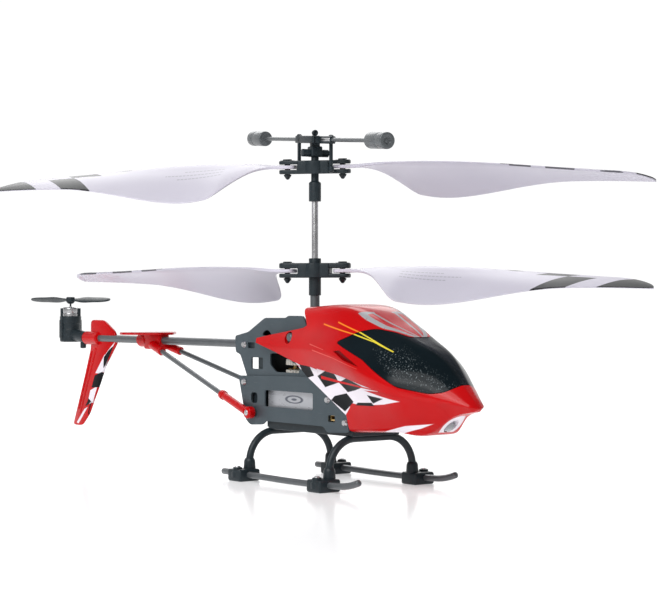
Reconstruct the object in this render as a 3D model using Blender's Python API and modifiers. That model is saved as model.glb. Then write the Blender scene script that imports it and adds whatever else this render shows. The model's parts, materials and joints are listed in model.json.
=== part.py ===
"""Coaxial twin-rotor toy helicopter: every piece is one closed solid, modelled in millimetres.

Frame: +X is the nose, +Y is port (the pilot's left), +Z is up, and the ground is Z = 0. The pieces
are placed from the rotor mast, and the whole model is then shifted so that the world origin is the
bottom centre of its box.
"""
import math

import bmesh
import bpy
import numpy as np
from mathutils import Matrix, Vector

MM = 0.001
COLLECTION = "rc_helicopter"
GAP = 0.15                      # clearance between neighbouring pieces

# ---- side frames -------------------------------------------------------------------------------
PLATE = 0.5                     # thickness of the aluminium side plates
UPPER_PLATE_Y = 8.75            # middle of the upper plates
LOWER_PLATE_Y = 9.35            # middle of the lower plates
CHASSIS_HALF = 8.35             # half the width of the plastic chassis
FRAME_SCREW_R = 0.6
FRAME_SCREWS = {"rear_upper": (-22.1, 38.4), "rear_lower": (-21.4, 27.5),
                "front_upper": (18.3, 24.1), "front_lower": (26.0, 18.2)}
CHARGE_HOLE = (19.9, 19.0)      # charging socket to starboard, switch slot to port
CHARGE_HALF = 1.5
CHARGE_RISE = 0.9
SWITCH_SLOT_HALF = 1.9

BATTERY_BOX = ((-12.8, -7.9, 18.5), (13.4, 7.9, 26.9))
BOARD_BOX = ((15.3, -7.9, 20.5), (24.0, 7.9, 21.5))
BOARD_CHIPS = (((17.0, -3.0, 21.2), (20.0, 1.0, 22.5)), ((20.6, 2.0, 21.2), (23.0, 5.0, 22.3)))

# Chassis blocks in side view: (x low, z low, x high, z high).
CHASSIS_FLOOR = (-23.0, 17.0, 26.9, 18.2)
CHASSIS_BLOCKS = (
    (-23.0, 17.6, -14.0, 28.6),     # rear block
    (-23.0, 27.2, 22.0, 28.6),      # deck over the battery
    (13.8, 17.6, 15.0, 28.0),       # front wall of the battery bay
    (14.4, 22.6, 20.0, 25.6),       # front screw pillar
    (24.4, 17.4, 26.9, 19.8),       # nose screw pillar
    (-16.0, 28.0, -13.6, 44.6),     # rear wall of the gear bay
    (13.4, 28.0, 15.0, 42.4),       # front wall of the gear bay
    (-16.0, 37.0, 15.0, 38.4),      # motor deck
    (-16.0, 43.2, 7.0, 44.6),       # top deck
    (6.0, 41.0, 15.0, 42.4),        # stepped front of the top deck
    (5.8, 41.6, 7.0, 44.0),         # its riser
    (-25.0, 36.2, -15.0, 40.4))     # tail block
BOOM_SOCKET_X = (-31.2, -24.0)
BOOM_SOCKET_R = 2.5
MAST_BORES = ((20.0, 29.0, 2.6), (35.0, 46.0, 3.1))     # (z low, z high, radius)

# ---- mast --------------------------------------------------------------------------------------
INNER_SHAFT_R = 0.95
INNER_SHAFT_Z = (27.4, 83.8)
OUTER_SHAFT_R = 1.35
OUTER_BORE_R = 1.08
COLLAR_R = 1.8
MODULE = 0.4
GEAR_TEETH = 40
PINION_TEETH = 8
MOTOR_X = MODULE * (GEAR_TEETH + PINION_TEETH) / 2.0
MOTOR_R = 3.5
LOWER_GEAR_Z = (33.0, 34.5)
UPPER_GEAR_Z = (30.0, 31.5)
MOTOR_Z = (36.0, 46.0)

BEARING_PLAY = 0.12
TOP_BEARING = ((2.95, 46.2), (2.95, 45.3), (3.7, 45.3), (3.7, 44.75), (2.95, 44.75), (2.95, 43.3))   # (r, z)
BOTTOM_BEARING = ((3.2, 29.25), (3.2, 28.75), (2.45, 28.75), (2.45, 27.1))

# ---- rotors ------------------------------------------------------------------------------------
ROTOR_AZIMUTH = 39.0            # degrees from the nose to the leading blade, both rotors
FOLDED_LAG = 23.7               # degrees by which one lower blade rests folded back
LOWER_BLADE_Z = 59.75
UPPER_BLADE_Z = 89.5
BLADE_SCREW_X = 8.1             # blade screws from the mast's axis
BLADE_R = 95.6                  # rotor radius
LOWER_DROOP = (3.7, 1.0)        # sag of the front and the rear tip
UPPER_DROOP = 4.2
BLADE_STATIONS = (5.6, 6.1, 7.0, 8.1, 9.4, 10.6, 12.0, 14.0, 17.0, 20.0, 23.0, 25.0, 26.4, 29.0, 40.0, 54.0,
                  68.0, 80.0, 88.0, 91.0, 93.6, 95.2, 95.6)
# Leading and trailing edge from the span line, pitch in degrees and thickness: (radius, value).
BLADE_FRONT = ((5.6, 1.2), (6.1, 2.0), (7.0, 2.45), (8.1, 2.6), (10.6, 2.6), (14.0, 2.9), (26.0, 3.1),
               (80.0, 3.2), (88.0, 3.0), (91.0, 1.6), (93.6, -1.6), (95.2, -5.2), (95.6, -7.0))
BLADE_BACK = ((5.6, 1.2), (6.1, 2.0), (7.0, 2.45), (8.1, 2.6), (10.6, 2.6), (12.0, 2.7), (14.0, 3.4),
              (17.0, 6.2), (20.0, 11.0), (23.0, 16.6), (25.0, 19.9), (26.4, 21.0), (29.0, 20.7), (88.0, 9.6),
              (95.6, 8.6))
BLADE_PITCH = ((5.6, 0.0), (10.6, 0.0), (14.0, 5.0), (20.0, 16.0), (26.0, 22.5), (73.0, 13.0), (95.6, 10.0))
BLADE_THICKNESS = ((5.6, 1.1), (10.6, 1.1), (20.0, 1.0), (95.6, 0.8))
# Section round the blade: share of the chord, and half depths in the blade and at its root.
BLADE_CHORD = (0.0, 0.04, 0.18, 0.45, 0.75, 1.0, 1.0, 0.75, 0.45, 0.18, 0.04)
BLADE_DEPTH = (0.0, 0.42, 0.5, 0.36, 0.28, 0.22, -0.22, -0.28, -0.36, -0.5, -0.42)
BLADE_ROOT_DEPTH = (0.0, 0.42, 0.5, 0.5, 0.5, 0.4, -0.4, -0.5, -0.5, -0.5, -0.42)
GRIP_TILT = 4.3                 # degrees about the blades' span
FLYBAR_AZIMUTH = -13.0
FLYBAR_TILT = 5.0               # degrees, forward end down
FLYBAR_Z = 97.3
FLYBAR_HALF = 46.0
LINK_ALONG = 7.2                # links: along the flybar, and to its side
LINK_ASIDE = 1.6
LINK_Z = (88.0, 98.8)

# ---- landing gear ------------------------------------------------------------------------------
BOW_X = {"front": 25.5, "rear": -11.5}
BOW_R = 1.05
BOW_TOP_Z = 13.8
BOW_LEG_Y = 14.7
BOW_BEND = 8.6
SKID_Y = 17.0
SKID_R = 0.9
SKID_Z = 2.0
SKID_LINE = ((-21.5, 0.0), (31.0, 0.0), (35.0, 0.25), (38.5, 0.9), (41.4, 1.8))     # (x, rise)
CLAMP = (6.2, 7.2, 4.0)

# ---- tail --------------------------------------------------------------------------------------
BOOM_Z = 38.3
BOOM_R = 1.25
BOOM_X = (-134.5, -23.6)
TAIL_X = -140.0
TAIL_ROTOR_Z = 51.3
TAIL_ROTOR_R = 14.4
TAIL_CAN_R = 2.7
TAIL_BLADE = ((0.6, 0.9, 12.0), (2.2, 1.5, 18.0), (4.0, 2.1, 20.0), (9.0, 2.2, 14.0), (12.5, 1.9, 11.0),
              (13.8, 1.2, 10.0), (TAIL_ROTOR_R, 0.4, 10.0))     # (radius, half chord, pitch in degrees)
STRUT_R = 0.75
STRUT_FOOT = (-16.7, 11.6, 18.9)
STRUT_HEAD = (-80.0, 2.9, 36.2)

# ---- canopy ------------------------------------------------------------------------------------
SHELL = 1.0                     # canopy wall
CANOPY_X = (-12.4, 69.0)
HOLLOW_NOSE_X = 60.5            # the hollow ends behind the beak
CANOPY_STATIONS = (-4.0, 4.0, 10.0, 16.0, 22.0, 26.0, 30.0, 34.0, 38.0, 42.0, 46.0, 50.0, 54.0, 57.3, 60.5,
                   63.8, 66.5)
PEG_HOLE = (2.6, 40.4)
LAMP_TAIL = (54.6, 0.0, 18.93)
LAMP_TIP = (57.0, 0.0, 18.65)

# Guide lines of the canopy along the nose direction: (x, value) in millimetres.
TOP_LINE = ((-12.4, 49.6), (7.0, 49.7), (26.0, 49.6), (37.5, 45.2), (46.0, 41.8), (57.3, 36.1),
            (63.8, 29.6), (69.0, 24.4))
BOTTOM_LINE = ((-12.4, 15.6), (28.0, 15.6), (45.0, 16.6), (55.7, 16.9), (61.0, 20.9), (69.0, 23.2))
WIDEST_HALF = ((-12.4, 11.7), (0.0, 12.2), (10.0, 13.0), (20.0, 14.2), (28.0, 15.0), (38.0, 15.3),
               (45.0, 14.7), (52.0, 12.4), (58.5, 8.4), (64.0, 4.9), (69.0, 1.9))
WIDEST_Z = ((-12.4, 39.2), (0.0, 39.0), (16.0, 38.5), (28.0, 37.0), (40.0, 32.5), (50.0, 29.0),
            (58.0, 26.6), (64.0, 25.2), (69.0, 23.9))
ROOF_HALF = ((-12.4, 8.6), (28.0, 8.8), (37.0, 7.0), (46.0, 5.2), (57.0, 3.0), (64.0, 1.6), (69.0, 0.7))
FLANK = ((-12.4, 0.30), (26.0, 0.36), (40.0, 0.62), (69.0, 0.70))
COWL_HALF = ((-12.4, 11.4), (28.0, 11.5), (40.0, 12.6), (50.0, 11.4), (58.0, 6.8), (64.0, 3.9), (69.0, 1.5))
CHIN_HALF = ((-12.4, 10.9), (28.0, 10.9), (40.0, 10.4), (50.0, 8.2), (57.0, 4.6), (64.0, 2.4), (69.0, 1.0))

# Side outlines (x, z).
OPEN_ABOVE_WING = ((-20.0, 60.0), (7.0, 60.0), (7.2, 49.0), (10.4, 44.4), (8.9, 43.7), (-6.0, 41.6),
                   (-20.0, 39.4))
OPEN_BELOW_WING = ((-20.0, 40.0), (-11.6, 38.9), (-3.0, 36.8), (5.0, 34.6), (10.5, 30.2), (27.3, 20.3),
                   (28.0, 15.9), (28.0, 5.0), (-20.0, 5.0))
WINDSHIELD_SIDE = ((27.6, 40.1), (33.4, 43.2), (37.5, 43.9), (42.3, 42.9), (46.0, 41.7), (48.0, 47.0),
                   (70.0, 36.0), (62.6, 29.3), (61.5, 27.9), (58.5, 27.3), (52.5, 28.7), (37.1, 35.2))
UPPER_PLATE_SIDE = ((-26.9, 40.9), (-20.3, 42.1), (-12.0, 46.3), (-1.9, 46.4), (-0.7, 47.0), (6.2, 47.0),
                    (8.6, 43.0), (15.5, 38.6), (15.5, 28.4), (-20.4, 28.4), (-24.3, 35.6), (-26.6, 36.1))
LOWER_PLATE_SIDE = ((-24.3, 29.3), (-16.8, 29.5), (-0.4, 30.0), (10.5, 30.1), (27.3, 20.1), (27.3, 15.6),
                    (17.9, 15.1), (16.3, 16.7), (-10.8, 16.7), (-12.2, 15.6), (-18.3, 15.2), (-20.7, 16.7))
UPPER_PLATE_CUTOUT = ((-9.4, 36.2), (-1.6, 36.2), (1.6, 33.6), (4.6, 33.6), (4.6, 30.9), (-6.6, 30.9),
                      (-9.4, 33.0))
UPPER_PLATE_SLOTS = ((-20.4, 37.4, -17.0, 39.1, 0.3), (-18.6, 31.5, -12.9, 34.8, 0.4))   # corners, radius
PLATE_ARCH = (-11.0, 41.2, 2.1, 1.6)    # arched hole: centre, half width, height
LOWER_PLATE_SLOTS = ((-18.0, 21.6, -14.8, 24.7, 1.0), (-11.3, 20.9, 11.5, 25.6, 0.6))
FIN_SIDE = ((-125.3, 44.5), (-117.0, 44.5), (-109.8, 40.7), (-108.4, 37.2), (-116.4, 28.8),
            (-119.8, 23.1), (-127.2, 12.0), (-131.9, 8.0), (-137.4, 8.0), (-130.0, 24.0),
            (-125.3, 34.6))
STABILISER_TOP = ((-87.3, 0.0), (-92.0, 9.4), (-88.2, 10.3), (-78.3, 2.8), (-78.3, -2.8),
                  (-88.2, -10.3), (-92.0, -9.4))

RED = ((0.58, 0.006, 0.010), 0.22, 0.0)
SLATE = ((0.075, 0.095, 0.11), 0.42, 0.75)
BLACK = ((0.012, 0.018, 0.022), 0.42, 0.0)
GREY_TUBE = ((0.10, 0.11, 0.115), 0.38, 0.3)
STEEL = ((0.62, 0.62, 0.64), 0.28, 1.0)
BRASS = ((0.72, 0.50, 0.20), 0.32, 1.0)
PALE = ((0.76, 0.74, 0.82), 0.35, 0.0)
CREAM = ((0.80, 0.78, 0.72), 0.45, 0.0)
SMOKE = ((0.008, 0.012, 0.016), 0.12, 0.0)
SILVER = ((0.55, 0.57, 0.60), 0.35, 0.9)
GREEN = ((0.02, 0.16, 0.07), 0.45, 0.0)
LAMP = ((0.85, 0.88, 0.92), 0.10, 0.0)


# ---- scene helpers -------------------------------------------------------------------------------
def clear_scene():
    for obj in list(bpy.data.objects):
        bpy.data.objects.remove(obj, do_unlink=True)


def new_collection(name):
    group = bpy.data.collections.new(name)
    bpy.context.scene.collection.children.link(group)
    return group


def finish(name):
    """A Principled material for one sub-part."""
    colour, roughness, metallic = FINISHES[name]
    mat = bpy.data.materials.new(name)
    mat.use_nodes = True
    shader = mat.node_tree.nodes["Principled BSDF"]
    shader.inputs["Base Color"].default_value = (*colour, 1.0)
    shader.inputs["Roughness"].default_value = roughness
    shader.inputs["Metallic"].default_value = metallic
    return mat


def empty(name, parent=None, at=(0.0, 0.0, 0.0), turn=None):
    pivot = bpy.data.objects.new(name, None)
    pivot.empty_display_size = 0.005
    PARTS.objects.link(pivot)
    pivot.matrix_basis = Matrix.Translation(Vector(at) * MM) @ (turn or Matrix())
    pivot.parent = parent
    return pivot


def turn_z(degrees):
    return Matrix.Rotation(math.radians(degrees), 4, "Z")


def turn_y(degrees):
    return Matrix.Rotation(math.radians(degrees), 4, "Y")


def turn_x(degrees):
    return Matrix.Rotation(math.radians(degrees), 4, "X")


# ---- loose shapes: each returns an unlinked mesh in millimetres ------------------------------------
def from_bmesh(bm):
    mesh = bpy.data.meshes.new("shape")
    bmesh.ops.recalc_face_normals(bm, faces=bm.faces)
    bm.to_mesh(mesh)
    bm.free()
    return mesh


def box(low, high, bevel=0.0):
    """A box between two corners, its edges rounded by a bevel where one is given."""
    low, high = Vector(low), Vector(high)
    bm = bmesh.new()
    bmesh.ops.create_cube(bm, size=1.0)
    bmesh.ops.scale(bm, vec=high - low, verts=bm.verts)
    bmesh.ops.translate(bm, vec=(low + high) / 2.0, verts=bm.verts)
    if bevel:
        bmesh.ops.bevel(bm, geom=bm.edges[:], offset=bevel, segments=1, profile=0.5, affect="EDGES")
    return from_bmesh(bm)


def rod(start, end, radius, radius_end=None, sides=16):
    """A round bar or cone between two points."""
    start, end = Vector(start), Vector(end)
    bm = bmesh.new()
    bmesh.ops.create_cone(bm, cap_ends=True, segments=sides, radius1=radius,
                          radius2=radius if radius_end is None else radius_end, depth=(end - start).length)
    aim = (end - start).to_track_quat("Z", "Y").to_matrix().to_4x4()
    bmesh.ops.transform(bm, matrix=Matrix.Translation((start + end) / 2.0) @ aim, verts=bm.verts)
    return from_bmesh(bm)


def ball(centre, radius, sides=16):
    bm = bmesh.new()
    bmesh.ops.create_uvsphere(bm, u_segments=sides, v_segments=sides // 2, radius=radius)
    bmesh.ops.translate(bm, vec=Vector(centre), verts=bm.verts)
    return from_bmesh(bm)


def taken(obj):
    """The evaluated mesh of a temporary object, which is removed."""
    PARTS.objects.link(obj)
    bpy.context.view_layer.update()
    mesh = bpy.data.meshes.new_from_object(obj.evaluated_get(bpy.context.evaluated_depsgraph_get()))
    bpy.data.objects.remove(obj, do_unlink=True)
    bm = bmesh.new()
    bm.from_mesh(mesh)
    bmesh.ops.remove_doubles(bm, verts=bm.verts, dist=0.002)
    return from_bmesh(bm)


def turned(profile, sides=24, at=(0.0, 0.0, 0.0)):
    """A turned ring or disc: the (radius, z) outline swept round Z with a Screw modifier."""
    mesh = bpy.data.meshes.new("profile")
    count = len(profile)
    mesh.from_pydata([(r, 0.0, z) for r, z in profile], [(i, (i + 1) % count) for i in range(count)], [])
    obj = bpy.data.objects.new("profile", mesh)
    screw = obj.modifiers.new("screw", "SCREW")
    screw.steps = screw.render_steps = sides
    screw.use_merge_vertices = True
    screw.merge_threshold = 0.0001
    solid = taken(obj)
    solid.transform(Matrix.Translation(at))
    return solid


def ring(outer, inner, z_low, z_high, sides=24, at=(0.0, 0.0)):
    return turned(((outer, z_high), (outer, z_low), (inner, z_low), (inner, z_high)), sides,
                  (at[0], at[1], 0.0))


def rounded(points, radius, steps=2):
    """The outline with each corner replaced by a short arc."""
    points = [Vector(p) for p in points]
    result = []
    for i, corner in enumerate(points):
        before, after = points[i - 1] - corner, points[(i + 1) % len(points)] - corner
        reach = min(radius, before.length * 0.4, after.length * 0.4)
        start, end = corner + before.normalized() * reach, corner + after.normalized() * reach
        for t in np.linspace(0.0, 1.0, steps + 1):
            result.append(start.lerp(corner, t).lerp(corner.lerp(end, t), t))
    return result


def circle(centre, radius, sides=12):
    return [(centre[0] + radius * math.cos(a), centre[1] + radius * math.sin(a))
            for a in np.linspace(0.0, 2.0 * math.pi, sides, endpoint=False)]


def flat(outline, thickness, holes=()):
    """A flat outline in XY with holes, extruded to a thickness centred on Z = 0."""
    curve = bpy.data.curves.new("outline", "CURVE")
    curve.dimensions = "2D"
    curve.fill_mode = "BOTH"
    curve.extrude = thickness / 2.0
    for loop in (outline, *holes):
        spline = curve.splines.new("POLY")
        spline.points.add(len(loop) - 1)
        for point, (x, y) in zip(spline.points, loop):
            point.co = (x, y, 0.0, 1.0)
        spline.use_cyclic_u = True
    return taken(bpy.data.objects.new("outline", curve))


def side_flat(outline, thickness, at_y, holes=()):
    """A flat piece whose outline is given in side view (x, z)."""
    mesh = flat(outline, thickness, holes)
    mesh.transform(Matrix.Translation((0.0, at_y, 0.0)) @ turn_x(90.0))
    return mesh


def tube(points, radius, resolution=2):
    """A bent round bar through the given points."""
    curve = bpy.data.curves.new("path", "CURVE")
    curve.dimensions = "3D"
    curve.bevel_depth = radius
    curve.bevel_resolution = resolution
    curve.use_fill_caps = True
    spline = curve.splines.new("POLY")
    spline.points.add(len(points) - 1)
    for point, co in zip(spline.points, points):
        point.co = (*co, 1.0)
    return taken(bpy.data.objects.new("path", curve))


def loft(sections):
    """Skin closed sections of equal point count and close both ends."""
    sections = np.asarray(sections, dtype=float)
    rings, count = sections.shape[:2]
    faces = []
    for i in range(rings - 1):
        for j in range(count):
            k = (j + 1) % count
            faces.append((i * count + j, i * count + k, (i + 1) * count + k, (i + 1) * count + j))
    faces.append(tuple(range(count)))
    faces.append(tuple(range((rings - 1) * count, rings * count)))
    mesh = bpy.data.meshes.new("loft")
    mesh.from_pydata(sections.reshape(-1, 3).tolist(), [], faces)
    bm = bmesh.new()
    bm.from_mesh(mesh)
    return from_bmesh(bm)


def moved(mesh, matrix):
    copy = mesh.copy()
    copy.transform(matrix)
    return copy


# ---- sub-parts -------------------------------------------------------------------------------------
def combine(obj, shape, operation):
    """Join or cut one more shape with a live Boolean whose tool sits in the cutters collection."""
    tool = bpy.data.objects.new(f"{obj.name}_{operation.lower()}_{len(obj.modifiers)}", shape)
    CUTTERS.objects.link(tool)
    shape.transform(Matrix.Scale(MM, 4))
    tool.parent = obj
    tool.hide_render = True
    tool.display_type = "WIRE"
    step = obj.modifiers.new(operation.lower(), "BOOLEAN")
    step.operation = operation
    step.solver = "EXACT"
    step.object = tool


def part(name, shape, parent=None, add=(), cut=(), keep=()):
    """One named sub-part: a base shape, shapes joined to it, cut from it, or that it is kept within."""
    obj = bpy.data.objects.new(name, shape)
    PARTS.objects.link(obj)
    shape.transform(Matrix.Scale(MM, 4))
    obj.parent = parent or ROOT
    for extra in add:
        combine(obj, extra, "UNION")
    for extra in keep:
        combine(obj, extra, "INTERSECT")
    for extra in cut:
        combine(obj, extra, "DIFFERENCE")
    obj.data.materials.append(finish(name))
    obj.data.shade_smooth()
    obj.data.set_sharp_from_angle(angle=math.radians(35.0))
    return obj


def across(x, z, radius, half=14.0, sides=12):
    """A round bar across the whole model at (x, z)."""
    return rod((x, -half, z), (x, half, z), radius, sides=sides)


def build_chassis():
    """The black plastic frame: full-width blocks and decks, bored for boom, mast, motors and screws."""
    half = CHASSIS_HALF
    x_low, z_low, x_high, z_high = CHASSIS_FLOOR
    floor = box((x_low, -half, z_low), (x_high, half, z_high))
    add = [box((x0, -half, z0), (x1, half, z1)) for x0, z0, x1, z1 in CHASSIS_BLOCKS]
    add.append(rod((BOOM_SOCKET_X[0], 0.0, BOOM_Z), (BOOM_SOCKET_X[1], 0.0, BOOM_Z), BOOM_SOCKET_R))
    cut = [rod((2.0 * BOOM_SOCKET_X[0], 0.0, BOOM_Z), (BOOM_X[1] + GAP, 0.0, BOOM_Z), BOOM_R + GAP)]
    cut += [rod((0.0, 0.0, low), (0.0, 0.0, high), radius) for low, high, radius in MAST_BORES]
    cut += [rod((s * MOTOR_X, 0.0, MOTOR_Z[0] - 1.0), (s * MOTOR_X, 0.0, MOTOR_Z[1] + 4.0), MOTOR_R + GAP)
            for s in (-1, 1)]
    cut += [across(x, z, FRAME_SCREW_R + GAP) for x, z in FRAME_SCREWS.values()]
    part("chassis_frame", floor, add=add, cut=cut)


def slot_outline(x_low, z_low, x_high, z_high, radius):
    return rounded(((x_low, z_low), (x_high, z_low), (x_high, z_high), (x_low, z_high)), radius)


def build_plates():
    """Thin aluminium side plates, an upper and a lower one on each side."""
    x, z, wide, tall = PLATE_ARCH
    arch = [(x + wide * math.cos(a), z + tall * math.sin(a)) for a in np.linspace(0.0, math.pi, 9)]
    upper_holes = [slot_outline(*slot) for slot in UPPER_PLATE_SLOTS]
    screw_hole = FRAME_SCREW_R + GAP
    upper_holes += [arch, rounded(UPPER_PLATE_CUTOUT, 0.7), circle(FRAME_SCREWS["rear_upper"], screw_hole)]
    lower_holes = [slot_outline(*slot) for slot in LOWER_PLATE_SLOTS]
    lower_holes += [circle(FRAME_SCREWS[key], screw_hole)
                    for key in ("rear_lower", "front_upper", "front_lower")]
    for side, sign in (("left", 1.0), ("right", -1.0)):
        upper = side_flat(rounded(UPPER_PLATE_SIDE, 0.8), PLATE, sign * UPPER_PLATE_Y, upper_holes)
        half = SWITCH_SLOT_HALF if side == "left" else CHARGE_HALF
        x, z = CHARGE_HOLE
        slot = slot_outline(x - half, z - CHARGE_RISE, x + half, z + CHARGE_RISE, 0.3)
        lower = side_flat(rounded(LOWER_PLATE_SIDE, 0.8), PLATE, sign * LOWER_PLATE_Y, [*lower_holes, slot])
        part(f"upper_side_plate_{side}", upper)
        part(f"lower_side_plate_{side}", lower)


def build_electrics():
    """Battery, board, charging socket, switch knob and the two main motors."""
    x, z = CHARGE_HOLE
    part("battery", box(*BATTERY_BOX, 1.0))
    part("circuit_board", box(*BOARD_BOX), add=[box(*chip) for chip in BOARD_CHIPS])
    part("charge_socket", box((x - 1.3, -9.0, z - 0.65), (x + 1.3, -3.0, z + 1.3), 0.15),
         cut=[box((x - 0.75, -9.5, z - 0.2), (x + 0.75, -5.0, z + 0.75))])
    part("power_switch", box((x - 1.7, 5.0, z - 0.55), (x - 0.5, 10.4, z + 0.55), 0.15))
    for name, sign in (("front", 1.0), ("rear", -1.0)):
        low, high = MOTOR_Z
        can = ((0.9, high + 0.8), (0.9, high), (MOTOR_R - 0.3, high), (MOTOR_R, high - 0.3),
               (MOTOR_R, low + 0.3), (MOTOR_R - 0.3, low), (0.65, low), (0.65, low + 1.0), (0.0, low + 1.0),
               (0.0, high + 0.8))
        part(f"{name}_motor", turned(can, at=(sign * MOTOR_X, 0.0, 0.0)))


def build_frame_screws():
    """Through screws of the frame, a domed head on one side and a flat tail on the other."""
    for key, (x, z) in FRAME_SCREWS.items():
        outside = (UPPER_PLATE_Y if key == "rear_upper" else LOWER_PLATE_Y) + PLATE / 2.0 + 0.1
        heads = [rod((x, s * outside, z), (x, s * (outside + 0.6), z), 1.0, 0.7) for s in (-1, 1)]
        part(f"frame_screw_{key}", across(x, z, FRAME_SCREW_R, outside + 0.3), add=heads)


def gear_shape(teeth, z_low, z_high, bore, hub, hub_z):
    """A spur gear with flat-sided teeth, its hub and its bore; tooth 0 points along +X."""
    pitch_r = MODULE * teeth / 2.0
    top, root = pitch_r + 0.6 * MODULE, pitch_r - 0.95 * MODULE
    half = math.pi / teeth
    outline = []
    for i in range(teeth):
        for share, radius in ((-0.55, root), (-0.22, top), (0.22, top), (0.55, root)):
            angle = 2.0 * math.pi * i / teeth + share * half
            outline.append((radius * math.cos(angle), radius * math.sin(angle)))
    holes = [circle((0.0, 0.0), bore, 16)] if bore else []
    blank = flat(outline, z_high - z_low, holes)
    blank.transform(Matrix.Translation((0.0, 0.0, (z_low + z_high) / 2.0)))
    if bore:
        return blank, ring(hub, bore, *hub_z, sides=16)
    return blank, rod((0.0, 0.0, hub_z[0]), (0.0, 0.0, hub_z[1]), hub, sides=12)


def build_gears(lower_body, upper_body):
    for name, body, height, span, bore, hub_r, hub_ends in (
            ("lower", lower_body, LOWER_BLADE_Z, LOWER_GEAR_Z, OUTER_SHAFT_R + GAP, 2.7, (-0.6, 1.2)),
            ("upper", upper_body, UPPER_BLADE_Z, UPPER_GEAR_Z, INNER_SHAFT_R + GAP, 2.2, (-0.5, 0.5))):
        low, high = span[0] - height, span[1] - height
        blank, hub = gear_shape(GEAR_TEETH, low, high, bore, hub_r, (low + hub_ends[0], high + hub_ends[1]))
        turn = turn_z(-ROTOR_AZIMUTH)
        part(f"{name}_rotor_gear", moved(blank, turn), body, add=[moved(hub, turn)])
    for name, sign, span in (("front", 1.0, LOWER_GEAR_Z), ("rear", -1.0, UPPER_GEAR_Z)):
        body = empty(f"{name}_pinion_axis", ROOT, (sign * MOTOR_X, 0.0, span[0]),
                     turn_z(180.0 / PINION_TEETH))
        blank, hub = gear_shape(PINION_TEETH, -0.2, span[1] - span[0] + 0.2, 0.0, 0.5,
                                (0.2, MOTOR_Z[0] + 0.8 - span[0]))
        part(f"{name}_pinion", blank, body, add=[hub])


def blade_sections(lead):
    """Blade sections from the screw tab to the swept tip; lead is +1 or -1, the side it flies towards."""
    chord, depth, root_depth = (np.array(row) for row in (BLADE_CHORD, BLADE_DEPTH, BLADE_ROOT_DEPTH))
    rings = []
    for r in BLADE_STATIONS:
        a, b = np.interp(r, *zip(*BLADE_FRONT)), np.interp(r, *zip(*BLADE_BACK))
        blend = np.clip((r - 10.6) / 8.0, 0.0, 1.0)
        y = a - chord * (a + b)
        camber = 0.05 * (a + b) * np.sin(np.pi * chord) * blend
        z = np.interp(r, *zip(*BLADE_THICKNESS)) * ((1.0 - blend) * root_depth + blend * depth) + camber
        angle = math.radians(np.interp(r, *zip(*BLADE_PITCH)))
        flown = y * math.cos(angle) - z * math.sin(angle)
        risen = y * math.sin(angle) + z * math.cos(angle)
        rings.append(np.stack([np.full(len(y), r - BLADE_SCREW_X), lead * flown, risen], axis=1))
    return np.array(rings)


def build_blade(name, parent, lead, droop):
    """A blade on its folding axis: x runs to the tip, and the tip sags by droop."""
    sections = blade_sections(lead)
    reach = np.clip((sections[:, :, 0] - 6.0) / (BLADE_R - BLADE_SCREW_X - 6.0), 0.0, None)
    sections[:, :, 2] -= droop * reach ** 1.6
    part(name, loft(sections), parent, cut=[rod((0.0, 0.0, -3.0), (0.0, 0.0, 3.0), 0.8 + GAP, sides=12)])


def grip_shapes(low, high, hub_r, bore):
    """Forked grip along X: two arms each way over and under the blades, joined by a hub."""
    reach = 10.4
    top, bottom = (0.75, high), (low, -0.75)
    base = box((-4.6, -2.6, low), (4.6, 2.6, high), 0.25)
    arms = []
    for z_low, z_high in (top, bottom):
        plate = flat(slot_outline(-reach, -2.3, reach, 2.3, 1.4), z_high - z_low)
        plate.transform(Matrix.Translation((0.0, 0.0, (z_low + z_high) / 2.0)))
        arms.append(plate)
    hub = turned(((hub_r, high + 0.01), (hub_r, low - 0.01), (0.0, low - 0.01), (0.0, high + 0.01)))
    cut = [rod((0.0, 0.0, -20.0), (0.0, 0.0, 20.0), bore)]
    for x in (-BLADE_SCREW_X, BLADE_SCREW_X):
        cut.append(rod((x, 0.0, -5.0), (x, 0.0, 5.0), 0.8 + GAP, sides=12))
    return base, arms + [hub], cut


def build_blade_screws(prefix, parent, low, high):
    """The pin of each blade: a screw with a flat head above the fork and a pointed nut below it."""
    for name, sign in (("front", 1.0), ("rear", -1.0)):
        x = sign * BLADE_SCREW_X
        shank = rod((x, 0.0, low - 1.2), (x, 0.0, high + 0.3), 0.8, sides=12)
        head = rod((x, 0.0, high + 0.12), (x, 0.0, high + 0.9), 1.5, 1.3, sides=16)
        nut = rod((x, 0.0, low - 1.9), (x, 0.0, low - 0.12), 0.5, 1.7, sides=16)
        part(f"{prefix}_blade_screw_{name}", shank, parent, add=[head, nut])


def build_lower_rotor():
    body = empty("lower_rotor_axis", ROOT, (0.0, 0.0, LOWER_BLADE_Z), turn_z(ROTOR_AZIMUTH))
    local = -LOWER_BLADE_Z
    part("outer_shaft", ring(OUTER_SHAFT_R, OUTER_BORE_R, 32.6 + local, 63.2 + local), body)
    base, add, cut = grip_shapes(-1.95, 2.25, 3.3, OUTER_SHAFT_R + GAP)
    bore = OUTER_SHAFT_R + 0.1
    add.append(turned(((COLLAR_R, 3.6), (COLLAR_R, -4.2), (2.3, -4.4), (2.3, -5.6), (COLLAR_R, -5.8),
                       (COLLAR_R, -7.0), (bore, -7.0), (bore, 3.6))))
    part("lower_blade_grip", base, body, add=add, cut=cut)
    build_blade_screws("lower", body, -1.95, 2.25)
    for name, turn, droop in (("front", 0.0, LOWER_DROOP[0]), ("rear", 180.0 - FOLDED_LAG, LOWER_DROOP[1])):
        x = -BLADE_SCREW_X if name == "rear" else BLADE_SCREW_X
        pivot = empty(f"lower_{name}_fold", body, (x, 0.0, 0.0), turn_z(turn))
        build_blade(f"lower_blade_{name}", pivot, 1.0, droop)
    return body


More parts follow.
